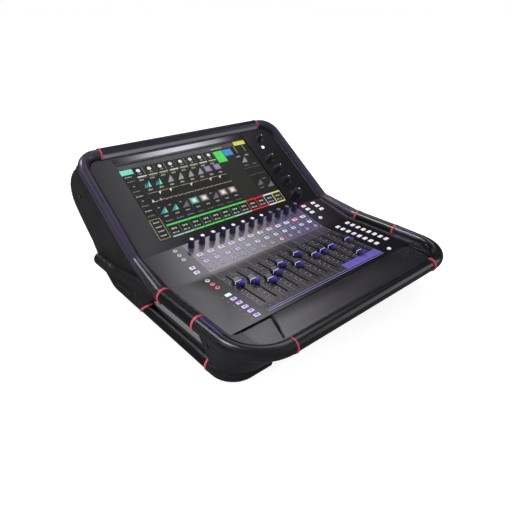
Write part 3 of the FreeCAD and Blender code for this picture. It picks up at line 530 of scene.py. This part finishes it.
dress("key_screen", key_material("key_screen_w", "#e6f0e8", power=0.5))


# ------------------------------------------------------------------ display
def glass_material():
    """Almost clear cover with a faint reflection."""
    material, graph = new_material("glass_clear")
    graph.tree.nodes.remove(graph.shader)
    roughness = graph.remap(graph.noise(30.0, 3.0), 0.0, 1.0, 0.05, 0.12)
    graph.output(graph.node("MixShader", {
        0: graph.node("Fresnel", {"IOR": 1.08}).outputs[0],
        1: graph.node("BsdfTransparent").outputs[0],
        2: graph.node("BsdfGlossy", {"Roughness": roughness}).outputs[0],
    }).outputs[0])
    return material


dress("cover_glass", glass_material())
dress("display_module", glow("lcd_ground", "#121210", power=0.7))

PICTURE_COLOURS = [
    "#2e2e2a", "#4d4b4c", "#7fe0c8", "#dedcd8", "#9c9a98", "#3f8f8c", "#6e6c70", "#b9b38c",
    "#52d860", "#3f8fd0", "#d8d860", "#d8222c", "#e8e8ea", "#e6e67a", "#3b6b3e", "#8a7fa6",
    "#c9b4ae", "#a7c9c0", "#1d1d1a"]
picture_inks = [glow("ui_%02d" % i, c, power=1.05) for i, c in enumerate(PICTURE_COLOURS)]
(SOOT, SLATE, MINT, PALE, SILVER, TEAL, GREY, KHAKI, GREEN, BLUE, YELLOW, RED, WHITE, LEMON,
 MOSS, MAUVE, SAND, MIST, COAL) = picture_inks

# The picture is laid out in mm to the right of and down from its top left corner.
PICTURE_LEFT, PICTURE_TOP = -199, 226
PICTURE_BASE, PICTURE_FACE = -2.58, -2.5
STRIPS = [33.75 + 26.4 * i for i in range(13)]  # left edges of the channel strips
STEP = 0.25  # unit of the uneven edges of the small marks
picture = Plates("display_image", on_screen, picture_inks, slot="display")


def raised(base, face):
    return (PICTURE_BASE + base, PICTURE_FACE + face)


def shape(origin, outline, colour, levels):
    placed = [(PICTURE_LEFT + origin + x, PICTURE_TOP - down) for x, down in outline]
    picture.poly(placed, colour, levels)


def tile(origin, box, colour, layer=1):
    """A rectangle; box is left, top, right, bottom and the left edges start at origin."""
    left, top, right, bottom = box
    outline = [(left, bottom), (right, bottom), (right, top), (left, top)]
    shape(origin, outline, colour, raised(0.01 * layer, 0.015 * layer))


def wedge(origin, box, colour):
    """The lower right triangle of a box."""
    left, top, right, bottom = box
    outline = [(left, bottom), (right, bottom), (right, top)]
    shape(origin, outline, colour, raised(0.01, 0.015))


def picture_margin():
    """Bar along the top and the column of small marks down the left."""
    tile(0, (4, 4.5, 351.5, 16.5), SLATE, layer=0)
    tile(0, (4, 18, 33, 31), MINT)
    for down, colour in ((37.5, PALE), (50, SILVER), (76.25, SILVER), (89.25, PALE),
                         (114.5, SILVER), (128, PALE), (140.5, SILVER)):
        for k in range(6):
            tile(2.75 * k, (9, down - 1.25 + STEP * (k % 3),
                            10.75, down + 1 - STEP * (2 * k % 3)), colour)
    for down in (62.5, 101.75):
        tile(0, (15, down - 1.25, 19.5, down + 1.25), SILVER)
    for box in ((6.25, 150, 29.25, 151), (6.25, 199, 29.25, 200),
                (5.25, 151, 6.25, 199), (28.75, 151, 29.75, 199)):
        tile(0, box, KHAKI)
    for down in (158.75, 170, 180.5, 191.25):
        for k in range(5):
            tile(2.75 * k, (11.25, down - 1.5 + STEP * (3 * k % 4), 13, down + 1.25), PALE)
    for strip in STRIPS:
        tile(strip, (-0.375, 18, 0.375, 168), SOOT, layer=0)


def upper_symbol(i, strip):
    if i < 2:
        for k in range(3):
            wedge(strip + 5 * k, (3.5, 62 - 3 * k, 10, 72.5), TEAL if k < 2 else MINT)
    elif i < 6:
        wedge(strip, (7.5, 54.5, 22, 72.5), SILVER)
        tile(strip, (22.5, 59, 23.25, 72.5), GREY)
    else:
        tile(strip, (5, 55, 22, 70.5), MAUVE)
        tile(strip, (8.5, 59.5, 18.5, 65.5), SILVER, layer=3)


def trace(i, strip):
    """Wavy line across the strip, with filled corners on some strips."""
    path = []
    for k in range(11):
        down = 110 + 0.75 * math.sin(k * 1.7 + i * 2.1)
        if (k + i) % 4 == 0:
            down += 1.75
        if i < 2 and k in (1, 8):
            down -= 1.5
        path.append((PICTURE_LEFT + strip + 1 + 2.45 * k, PICTURE_TOP - down))
    picture.line(path, 1.1, KHAKI, raised(0.01, 0.015))
    corner_levels = raised(0.01, 0.02)
    if i in (1, 2, 4, 6, 7):
        shape(strip, [(0.5, 89), (7.5, 89), (2, 96.5)], PALE, corner_levels)
    if i == 0:
        shape(strip, [(1.25, 111), (7.5, 111), (4, 103)], PALE, corner_levels)
        shape(strip, [(20, 111), (25.5, 111), (22.5, 104)], SAND, corner_levels)


def lower_symbol(i, strip):
    if i < 2:
        wedge(strip, (3, 128, 21, 143), TEAL)
        wedge(strip, (12.5, 130, 21, 143), MINT)
    elif i in (2, 5):
        wedge(strip, (4.5, 128, 22, 143), GREY)
    else:
        tile(strip, (2.5, 125, 23, 141.5), TEAL if i == 3 else GREY)
        tile(strip, (6, 127, 19.5, 139), MIST if i == 3 else SAND, layer=3)
        tile(strip, (9, 130, 16.5, 137), WHITE, layer=5)


def full_strip(i, strip):
    picture.disc(PICTURE_LEFT + strip + 11.5, PICTURE_TOP - 26, 4.6, WHITE, raised(0.01, 0.01))
    tile(strip, (22.5, 18.5, 23.5, 37.5), MOSS if i % 2 else SILVER)
    for k in range(2):
        tile(strip + 4 * k, (8.5, 33.5, 11, 36.5), SILVER)
    tile(strip, (2, 41, 23.5, 44), KHAKI if i % 3 else PALE)
    tile(strip, (3.5, 45.5, 21.5, 46.75), GREY)
    tile(strip, (1.5, 49.5, 12, 52.75), SILVER)
    upper_symbol(i, strip)
    tile(strip, (8.5, 78, 18.5, 81.5), SILVER)
    tile(strip, (11, 76, 14.5, 78), GREY)
    tile(strip, (2.5, 87.5, 25, 88.5), KHAKI)
    trace(i, strip)
    tile(strip, (4.5, 125.75, 10, 128.25), SILVER)
    lower_symbol(i, strip)
    tile(strip, (8, 149, 18, 152), SILVER)
    for k in range(5):
        tile(strip + 3.5 * k, (5.5, 160.5 + STEP * (5 * k % 7), 7.5, 164),
             MAUVE if i < 3 else GREY)


def sparse_strips():
    """The last two strips, the coloured blocks above and the two dark strips before them."""
    for strip in STRIPS[10:12]:
        tile(strip, (12, 18, 13.5, 37.5), KHAKI)
        tile(strip, (2, 47.5, 13, 51.5), SILVER)
        for box in ((6.5, 77.5, 20, 80.5), (1.5, 87.25, 25, 88.25),
                    (1.5, 109.25, 25, 110.25), (6.5, 148.5, 19, 151.5)):
            tile(strip, box, GREY)
    wedge(STRIPS[10], (7, 53.5, 23.5, 70), SILVER)
    wedge(STRIPS[10], (6.5, 126.5, 23.5, 142), GREY)
    wedge(STRIPS[11], (5, 138, 23.5, 154), GREY)
    tile(STRIPS[11], (4, 125, 15, 128), GREY)
    tile(0, (244.5, 12.5, 276.25, 14), PALE)
    tile(0, (244.75, 21, 270.25, 54.5), GREEN)
    tile(0, (272, 21, 297, 40), BLUE)
    tile(0, (315.5, 5, 350, 16.5), YELLOW)
    tile(0, (STRIPS[8], 57.5, STRIPS[9] - 1, 168), COAL, layer=0)
    tile(0, (STRIPS[9], 42.5, STRIPS[10] - 1, 168), COAL, layer=0)


def strip_feet():
    """Outlined boxes with small marks below the strips."""
    for i, colour in enumerate([GREEN] * 8 + [RED, RED, WHITE, LEMON]):
        left = STRIPS[i] + 1
        right = STRIPS[i + 1] - 1
        side = MOSS if colour == GREEN else colour
        tile(0, (left, 170.25, right + 1, 174), colour)
        tile(0, (left, 198.75, right + 0.5, 202), MIST if i in (0, 1, 6, 7) else colour)
        tile(0, (left - 1, 174, left, 198.75), side)
        tile(0, (right, 174, right + 0.75, 198.75), side)
        for k in range(4):
            tile(left + 3.25 * k, (5.5, 180.5 + STEP * (3 * k % 5),
                                   7.75, 185 - STEP * (2 * k % 5)), WHITE if k % 2 else SILVER)
            tile(left + 3.75 * k, (4.5, 191 + STEP * k, 7, 194), PALE if k in (0, 3) else SILVER)


picture_margin()
for i in range(8):
    full_strip(i, STRIPS[i])
sparse_strips()
strip_feet()
picture.done()

# ------------------------------------------------------------------ prints on the panels
ink_light = paint("print_light", "#c6c2ba", power=0.10)
ink_white = paint("print_white", "#a8a6ad", power=0.05)
ink_red = paint("print_red", "#b83c50", power=0.1)
FIELD_LEFT, FIELD_RIGHT = -159.3, 160.3
# The thin line at these x is a painted highlight of the panel's right edge.
EDGE_HIGHLIGHT_X = (247.6, 248.2)  # x of the thin line along the right edge


def print_middle():
    soft = paint("print_soft", "#a19e9f", power=0.05)
    prints = Plates("print_mid", on_middle, [ink_light, ink_white, ink_red, soft],
                    slot="panel_black")
    for x in DIVIDERS:
        prints.rect(x - 0.2, 2.0, x + 0.2, 82.0, soft)
    for x in CHANNELS:  # small marks between the key rows
        prints.rect(x - 3.0, 41.2, x - 0.2, 42.8, ink_white)
        prints.rect(x + 0.8, 41.2, x + 3.6, 42.8, ink_white)
        prints.rect(x - 1.2, 20.2, x + 1.4, 21.0, ink_light)
    prints.rect(FIELD_LEFT, 1.2, FIELD_RIGHT, 1.6, soft)
    # painted highlight along the panel's right edge
    prints.rect(EDGE_HIGHLIGHT_X[0], 1.0, EDGE_HIGHLIGHT_X[1], 96.0, soft)
    prints.done()


# y of the scale marks left of each fader slot, closer together near the front
SCALE_Y = [-36.3, -44.5, -52.7, -61.3, -70.0, -79.0, -88.0, -97.0, -104.5, -112.0, -118.5,
           -124.5, -130.0, -136.3]


def print_fader():
    violet = paint("strip_violet", "#5b4fa6", roughness=0.35, power=0.16)
    strip_dark = surface("strip_dark", "#2c2a2f", roughness=0.28, grain=1500, bump=0.03)
    dot = surface("strip_dot", "#1b1630", roughness=0.4)
    lavender = paint("edge_violet", "#8d86c0", roughness=0.4, power=0.22)
    faint = paint("print_dim", "#8a878a", power=0.05)
    prints = Plates("print_fader", on_fader, [ink_light, ink_white, violet, strip_dark, dot,
                                              lavender, ink_red, faint], slot="panel_black")
    for x in DIVIDERS:
        prints.rect(x - 0.22, -160.8, x + 0.22, -2.0, faint)
    for x in CHANNELS:
        for k, y in enumerate(SCALE_Y):  # long and short marks by turns
            width = 2.4 if k % 2 == 0 else 1.4
            prints.rect(x - 4.0 - width, y - 0.3, x - 4.0, y + 0.3, ink_white)
            if k % 2 == 0:
                prints.rect(x - 9.6, y - 0.9, x - 7.8, y + 0.9, ink_white)
        for k in range(12):
            y = -38.0 - k * 8.6
            prints.rect(x + 6.6, y - 0.5, x + 7.6, y + 0.5, ink_white)
        prints.disc(x, -13.5, 1.3, dot)
    sunk = (-0.28, -0.02)
    plain_right, tint_left = 52.6, 53.2  # the strip changes colour between these
    prints.rect(FIELD_LEFT, -160.9, plain_right, -160.2, lavender)
    prints.rect(FIELD_LEFT, -166.0, FIELD_RIGHT, -164.9, lavender)
    prints.rect(-160.0, -147.2, plain_right, -160.0, strip_dark, sunk)
    prints.rect(tint_left, -147.0, FIELD_RIGHT, -159.8, violet, sunk)
    prints.rect(tint_left, -142.4, FIELD_RIGHT, -146.8, violet)
    prints.rect(tint_left, -160.2, FIELD_RIGHT, -162.4, violet)
    for i, x in enumerate(CHANNELS):
        radius, ink = (1.5, dot) if i >= FIRST_TINTED else (0.8, lavender)
        prints.disc(x, -152.0, radius, ink, (-0.02, 0.03))
    for y in LEFT_ROW_Y:
        prints.rect(-195.0, y - 2.2, -193.2, y - 0.8, ink_white)
    prints.done()


print_middle()
print_fader()

# ------------------------------------------------------------------ key legends
# A dark sign on a light field; each legend moves with its group of keys.
sign = paint("legend_dark", "#4f4860")
side_field = paint("legend_field_d", "#938bab", roughness=0.45, power=0.1)


def legend(group, place, field, slot):
    return Plates("legend_" + group, place, [sign, field], slot, body="keys_" + group)


def channel_legends():
    field = paint("legend_field_a", "#9c93b4", roughness=0.45, power=0.15)
    mute = legend("mute", on_middle, field, "key")
    for x in CHANNELS:
        mute.rect(x - 4.6, 50.9, x + 4.6, 56.3, field, KEY_FIELD)
        mute.rect(x - 2.6, 52.6, x - 0.9, 55.0, sign, KEY_SIGN)
        mute.rect(x + 0.6, 52.2, x + 2.7, 54.2, sign, KEY_SIGN)
    mute.done()

    field = paint("legend_field_b", "#8d94c4", roughness=0.45, power=0.15)
    select = legend("select", on_middle, field, "key")
    for x in CHANNELS:
        select.rect(x - 3.6, 28.8, x + 3.6, 33.2, field, KEY_FIELD)
        select.rect(x - 1.6, 29.9, x + 1.6, 32.1, sign, KEY_SIGN)
    select.done()

    field = paint("legend_field_c", "#6f6680", roughness=0.45, power=0.05)
    listen = legend("listen", on_middle, field, "key")
    for x in CHANNELS:
        listen.disc(x, 11.6, 2.7, field, KEY_FIELD, sides=16)
        listen.disc(x, 11.6, 1.3, sign, KEY_SIGN)
    listen.done()


def middle_side_legends():
    plates = legend("mid_side", on_middle, side_field, "key_side")

    def bar(x, y):
        plates.rect(x - 1.8, y - 0.9, x + 1.8, y + 0.9, sign, KEY_SIGN)

    for y in (86.4, 71.0, 55.7):
        plates.disc(LEFT_KEYS_X, y, 1.8, sign, KEY_SIGN)
    for y in (26.3, 11.4):
        plates.rect(LEFT_KEYS_X - 3.4, y - 2.0, LEFT_KEYS_X + 3.4, y + 2.0, side_field,
                    KEY_FIELD)
        bar(LEFT_KEYS_X, y)
    for x in (181.0, 214.0):
        for y in (86.0, 71.5, 56.8):
            bar(x, y)
    plates.disc(182.0, 30.0, 1.8, sign, KEY_SIGN)
    plates.done()


def fader_side_legends():
    plates = legend("fader_side", on_fader, side_field, "key_side")
    x = LEFT_KEYS_X
    for y in (-22.8, -38.5, -53.7):
        plates.disc(x, y, 2.4, sign, KEY_SIGN)
    for y in LEFT_ROW_Y[1:]:  # the rearmost key of this row is blank
        plates.rect(x - 3.6, y - 2.1, x + 3.6, y + 2.1, side_field, KEY_FIELD)
        plates.rect(x - 1.5, y - 1.1, x + 1.5, y + 1.1, sign, KEY_SIGN)
    for x in (184.0, 218.0):
        for y in RIGHT_ROW_Y:
            plates.rect(x - 1.8, y - 0.5, x + 1.8, y + 0.5, side_field, KEY_SIGN)
    plates.done()


channel_legends()
middle_side_legends()
fader_side_legends()


# ------------------------------------------------------------------ encoder tops, fader cap marks
CAP_HALF_WIDTH = 6.75
CAP_TOP = 7.4
LINE_TOP = 7.52


def channel_marks():
    pale = paint("encoder_top_pale", "#dcd9e6", roughness=0.35, power=0.3)
    faint = paint("knob_top_dim", "#5c5672", roughness=0.35, power=0.1)
    mark = paint("cap_mark", "#e6e3ee", roughness=0.3, power=0.35)
    cap_glow = glow("cap_glow", "#4a35b8", power=0.6, body="#2a1f70")
    for i, (x, y) in enumerate(zip(CHANNELS, FADER_REST)):
        number = "%02d" % (i + 1)
        top = Plates("encoder_top_" + number, on_middle,
                     [pale if i < FIRST_TINTED else faint, knob_soft], slot="knob",
                     body="encoder_" + number)
        top.disc(x, 84.6, 3.7, levels=(19.0, 19.12), sides=24)
        top.done()
        # pointer line over the cap and down its left face
        line = Plates("fader_mark_" + number, on_fader, [mark, cap_glow], slot="cap",
                      body="fader_" + number)
        left = x - CAP_HALF_WIDTH
        line.rect(left, y - 0.5, x + CAP_HALF_WIDTH, y + 0.5, levels=(CAP_TOP, LINE_TOP))
        line.rect(left - 0.14, y - 0.5, left, y + 0.5, levels=(1.6, LINE_TOP))
        line.done()


channel_marks()


# ------------------------------------------------------------------ screen panel
def print_screen():
    """Ticks round the side knobs and a thin pale line along the right edge, a painted highlight.
    """
    soft = paint("edge_highlight_soft", "#8d8a90", power=0.03)
    prints = Plates("print_screen", on_screen, [ink_light, ink_white, soft],
                    slot="screen_bezel")
    for x, y, radius, _ in SIDE_KNOBS:
        for k in range(11):
            angle = math.radians(-60 + k * 30)
            path = [(x + r * math.cos(angle), y + r * math.sin(angle))
                    for r in (radius + 2.2, radius + 3.4)]
            prints.line(path, 0.5)
    prints.rect(EDGE_HIGHLIGHT_X[0], 6.0, EDGE_HIGHLIGHT_X[1], 214.0, soft)
    prints.done()


def bezel_glare_strip():
    """Painted highlight: a metal strip behind the display whose colour ramps bright in the middle
    and dark at both ends, standing in for a glare reflection.
    """
    metal = surface("glare_strip_satin_metal", None, roughness=0.16, grain=2200, bump=0.02,
                    spread=0.02, metal=1.0, rounding=0.15)
    graph = Graph(metal.node_tree)
    x, _, _ = graph.axes()
    # The bright middle of this colour ramp is a painted glare reflection.
    graph.shade({"Base Color": graph.ramp(graph.remap(x, -0.2, 0.16), [
        (0.0, "#2c2a2e"), (0.10, "#5a575e"), (0.24, "#8d8a91"), (0.42, "#a09da4"),
        (0.60, "#a19ea5"), (0.76, "#98959c"), (0.88, "#5a585d"), (1.0, "#2b292d")])})
    trim = Plates("bezel_glare_strip", on_screen, [metal], slot="screen_bezel")
    trim.rect(-196.5, 226.0, 157.0, 238.2, levels=(0, 0.35))
    trim.done()


def knob_dots():
    white = paint("knob_top_white", "#f2f0f6", roughness=0.35, power=0.4)
    for i, (x, y, radius, height) in enumerate(SIDE_KNOBS):
        dot = Plates("knob_dot_%d" % (i + 1), on_screen, [white], slot="knob",
                     body="side_knob_%d" % (i + 1))
        offset = (radius - 4.2) * 0.7
        dot.disc(x + offset, y + offset, 1.1 if radius < 12 else 1.6,
                 levels=(height, height + 0.08))
        dot.done()


print_screen()
bezel_glare_strip()
knob_dots()

# ------------------------------------------------------------------ armrest pad
PAD_BASE = 85.6
PAD_BACK, PAD_FRONT = -222.9, -284.7
PAD_HALF_BACK, PAD_HALF_FRONT = 165.5, 189.0
# roundings of the top edge
PAD_SIDE_RADIUS, PAD_FRONT_RADIUS, PAD_BACK_RADIUS = 3.2, 4.0, 1.2
PAD_COLUMNS, PAD_ROWS = 96, 20


def pad_point(across, along):
    """Top surface: across from -1 to 1, along from 0 at the back to 1 at the front."""
    depth = PAD_BACK - PAD_FRONT
    half = PAD_HALF_BACK + (PAD_HALF_FRONT - PAD_HALF_BACK) * min(1.0, along / 0.93)
    crown = 90.2 + 1.5 * math.sin(math.pi * min(1, along * 1.15)) - 2.4 * along ** 2.2
    rise = crown - PAD_BASE
    for distance, radius in (((1 - abs(across)) * half, PAD_SIDE_RADIUS),
                             ((1 - along) * depth, PAD_FRONT_RADIUS),
                             (along * depth, PAD_BACK_RADIUS)):
        if distance < radius:
            arc = math.sqrt(max(0.0, 1 - (1 - distance / radius) ** 2))
            rise *= arc * 0.85 + 0.15
    return (half * across, PAD_BACK - depth * along, PAD_BASE + rise)


def build_armrest():
    leather = surface("armrest_leather", "#1a191b", roughness=0.24, dark="#151416", grain=1100,
                      bump=0.08, ior=1.7, spread=0.03)
    # rows and columns lie closer together near the edges
    top = [pad_point(-math.cos(math.pi * i / PAD_COLUMNS),
                     0.5 - 0.5 * math.cos(math.pi * j / PAD_ROWS))
           for j in range(PAD_ROWS + 1) for i in range(PAD_COLUMNS + 1)]
    points = [Vector(p) * MM for p in top + [(x, y, PAD_BASE) for x, y, _ in top]]
    under = len(top)
    row = PAD_COLUMNS + 1
    faces = []
    for j in range(PAD_ROWS):
        for i in range(PAD_COLUMNS):
            a = j * row + i
            b = under + a
            faces.append([a, a + row, a + row + 1, a + 1])
            faces.append([b, b + 1, b + row + 1, b + row])

    def wall(a, step, flip):
        quad = [a, a + step, under + a + step, under + a]
        faces.append(quad[::-1] if flip else quad)

    for i in range(PAD_COLUMNS):
        wall(i, 1, False)
        wall(PAD_ROWS * row + i, 1, True)
    for j in range(PAD_ROWS):
        wall(j * row, row, True)
        wall(j * row + PAD_COLUMNS, row, False)
    pad = make("armrest", points, faces, [leather])
    for polygon in pad.data.polygons:
        polygon.use_smooth = True
    pad.data.update()
    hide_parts("armrest_pad")


build_armrest()


# ------------------------------------------------------------------ floor
def stage_material():
    """Near white to the camera, dim to every other ray."""
    material, graph = new_material("stage_white")
    graph.shade({"Base Color": (0.42, 0.42, 0.42), "Roughness": 0.9})
    emission = graph.node("Emission", {"Color": (1, 1, 1), "Strength": 0.80})
    seen = graph.node("AddShader", {0: graph.shader.outputs[0], 1: emission.outputs[0]})
    unseen = graph.node("BsdfDiffuse", {"Color": (0.16, 0.16, 0.165)})
    graph.output(graph.node("MixShader", {
        0: graph.node("LightPath").outputs["Is Camera Ray"],
        1: unseen.outputs[0],
        2: seen.outputs[0],
    }).outputs[0])
    return material


def build_floor():
    grid = bmesh.new()
    bmesh.ops.create_grid(grid, x_segments=8, y_segments=8, size=30.0)
    mesh = bpy.data.meshes.new("floor")
    grid.to_mesh(mesh)
    grid.free()
    floor = bpy.data.objects.new("floor", mesh)
    mesh.materials.append(stage_material())
    scene.collection.objects.link(floor)
    floor.location.z = -0.0005


build_floor()

# ------------------------------------------------------------------ world
# Reflected surroundings by direction: X of the direction, then a grey level or a colour.
BACK_BOX = [
    (-1.0, 0.1), (-0.80, 0.12), (-0.74, 4.0), (-0.69, 4.0), (-0.62, 0.25), (-0.2, 0.15),
    (0.33, 0.2), (0.40, 0.42), (0.44, 1.15), (0.48, 2.1), (0.53, 2.6), (0.59, 1.5),
    (0.63, (0.6, 0.56, 0.72)), (0.68, (0.20, 0.17, 0.30)), (0.76, (0.04, 0.036, 0.06)),
    (1.0, (0.02, 0.02, 0.025))]
TOP_BOX = [
    (-1.0, 0.1), (0.30, 0.3), (0.37, 0.7), (0.41, 1.15), (0.46, 1.8), (0.50, 2.8),
    (0.56, 1.4), (0.61, 0.4), (0.66, 0.13), (1.0, 0.05)]
FRONT_BOX = [
    (-1.0, 0.12), (0.0, 0.2), (0.30, 0.4), (0.37, 0.65), (0.405, 1.6), (0.425, 1.0),
    (0.45, 0.35), (0.48, 0.14), (0.66, 0.1), (0.8, 0.05)]
# brightness of the back box: position on the Z ramp, factor
BACK_HEIGHT = [(0.0, 0.2), (0.44, 0.12), (0.53, 0.19), (0.557, 0.30), (0.60, 0.95),
               (0.65, 1.35), (0.76, 1.35)]
# soft boxes: colour, ranges of X, Y and Z of the direction, softness
SOFT_BOXES = [
    ((22.0, 21.7, 22.6), (-0.36, -0.20), (0.36, 0.54), (0.6, 1.0), 0.03),
    ((6.0, 5.9, 6.1), (-0.36, -0.22), (0.58, 0.74), (0.55, 0.85), 0.03),
    ((0.35, 0.34, 0.37), (0.30, 0.60), (-0.9, -0.36), (0.15, 0.9), 0.06),
    ((1.7, 1.68, 1.76), (0.66, 0.88), (-0.9, -0.36), (0.05, 0.6), 0.05)]


def build_world():
    """White to the camera, soft boxes to reflections, even grey to all other rays."""
    world = bpy.data.worlds.new("studio")
    scene.world = world
    world.use_nodes = True
    graph = Graph(world.node_tree)
    rays = graph.node("LightPath").outputs
    direction = graph.axes("Generated")
    x, y, z = direction
    across = graph.remap(x, -1.0, 1.0)

    def box(stops):
        coloured = [((at + 1) / 2, c if isinstance(c, tuple) else (c, c * 0.98, c * 1.04))
                    for at, c in stops]
        return graph.ramp(across, coloured)

    def window(value, low, high, softness):
        return graph.product(graph.remap(value, low - softness, low),
                             graph.remap(value, high + softness, high))

    heights = graph.ramp(z, [(at, (level,) * 3) for at, level in BACK_HEIGHT])
    back = graph.mix(1.0, box(BACK_BOX), heights, blend="MULTIPLY")
    near = graph.mix(graph.remap(y, -0.02, 0.02), box(FRONT_BOX), box(TOP_BOX))
    colour = graph.mix(graph.remap(y, 0.16, 0.34), near, back)
    for light, *ranges, softness in SOFT_BOXES:
        windows = [window(axis, low, high, softness)
                   for axis, (low, high) in zip(direction, ranges)]
        colour = graph.mix(graph.product(*windows), colour, light)
    above_horizon = graph.remap(z, -0.02, 0.04)
    colour = graph.mix(1.0, colour, above_horizon, blend="MULTIPLY")
    colour = graph.mix(rays["Is Glossy Ray"], (0.60, 0.60, 0.63), colour)
    colour = graph.mix(rays["Is Camera Ray"], colour, (1, 1, 1))
    background = graph.tree.nodes["Background"]
    graph.feed(background.inputs["Color"], colour)
    background.inputs["Strength"].default_value = 1.0


build_world()


# ------------------------------------------------------------------ lights and camera, in metres
def area(name, location, target, size, power, colour=(1, 1, 1), size_y=None):
    """Area light aimed at a target and hidden from reflections."""
    data = bpy.data.lights.new(name, "AREA")
    data.energy = power
    data.color = colour
    data.shape = "RECTANGLE"
    data.size = size
    data.size_y = size_y or size
    light = bpy.data.objects.new(name, data)
    scene.collection.objects.link(light)
    light.location = location
    aim = Vector(target) - Vector(location)
    light.rotation_euler = aim.to_track_quat("-Z", "Y").to_euler()
    light.visible_glossy = False


area("key_soft", location=(0.5, 1.0, 2.2), target=(0, 0, 0.1), size=0.9, power=34)
area("side_strip", location=(-2.0, 0.2, 0.9), target=(-0.2, 0, 0.1), size=0.25, power=5,
     size_y=2.2)
area("front_fill", location=(-0.3, -2.2, 1.2), target=(0, 0, 0.1), size=1.2, power=7,
     colour=(0.98, 0.97, 1.0))
area("low_side", location=(-1.25, -0.55, 0.22), target=(-0.2, -0.1, 0.06), size=0.5, power=15)
area("violet_rim", location=(1.8, 0.3, 0.9), target=(0.1, 0, 0.1), size=0.5, power=1.2,
     colour=(0.42, 0.3, 1.0), size_y=1.5)


def add_camera():
    """Looks down on the desk from the front left."""
    data = bpy.data.cameras.new("camera")
    data.sensor_width = 36.0
    data.lens = 32.73609375
    data.clip_start = 0.01
    camera = bpy.data.objects.new("camera", data)
    scene.collection.objects.link(camera)
    right = (0.7554, -0.6552, 0.0095)
    up = (0.3072, 0.3670, 0.8780)
    backward = (-0.5788, -0.6603, 0.4785)
    pose = Matrix((right, up, backward)).transposed().to_4x4()
    pose.translation = (-0.5956, -0.6755, 0.5395)
    camera.matrix_world = pose
    scene.camera = camera


add_camera()
scene.view_settings.view_transform = "Standard"
scene.view_settings.look = "None"
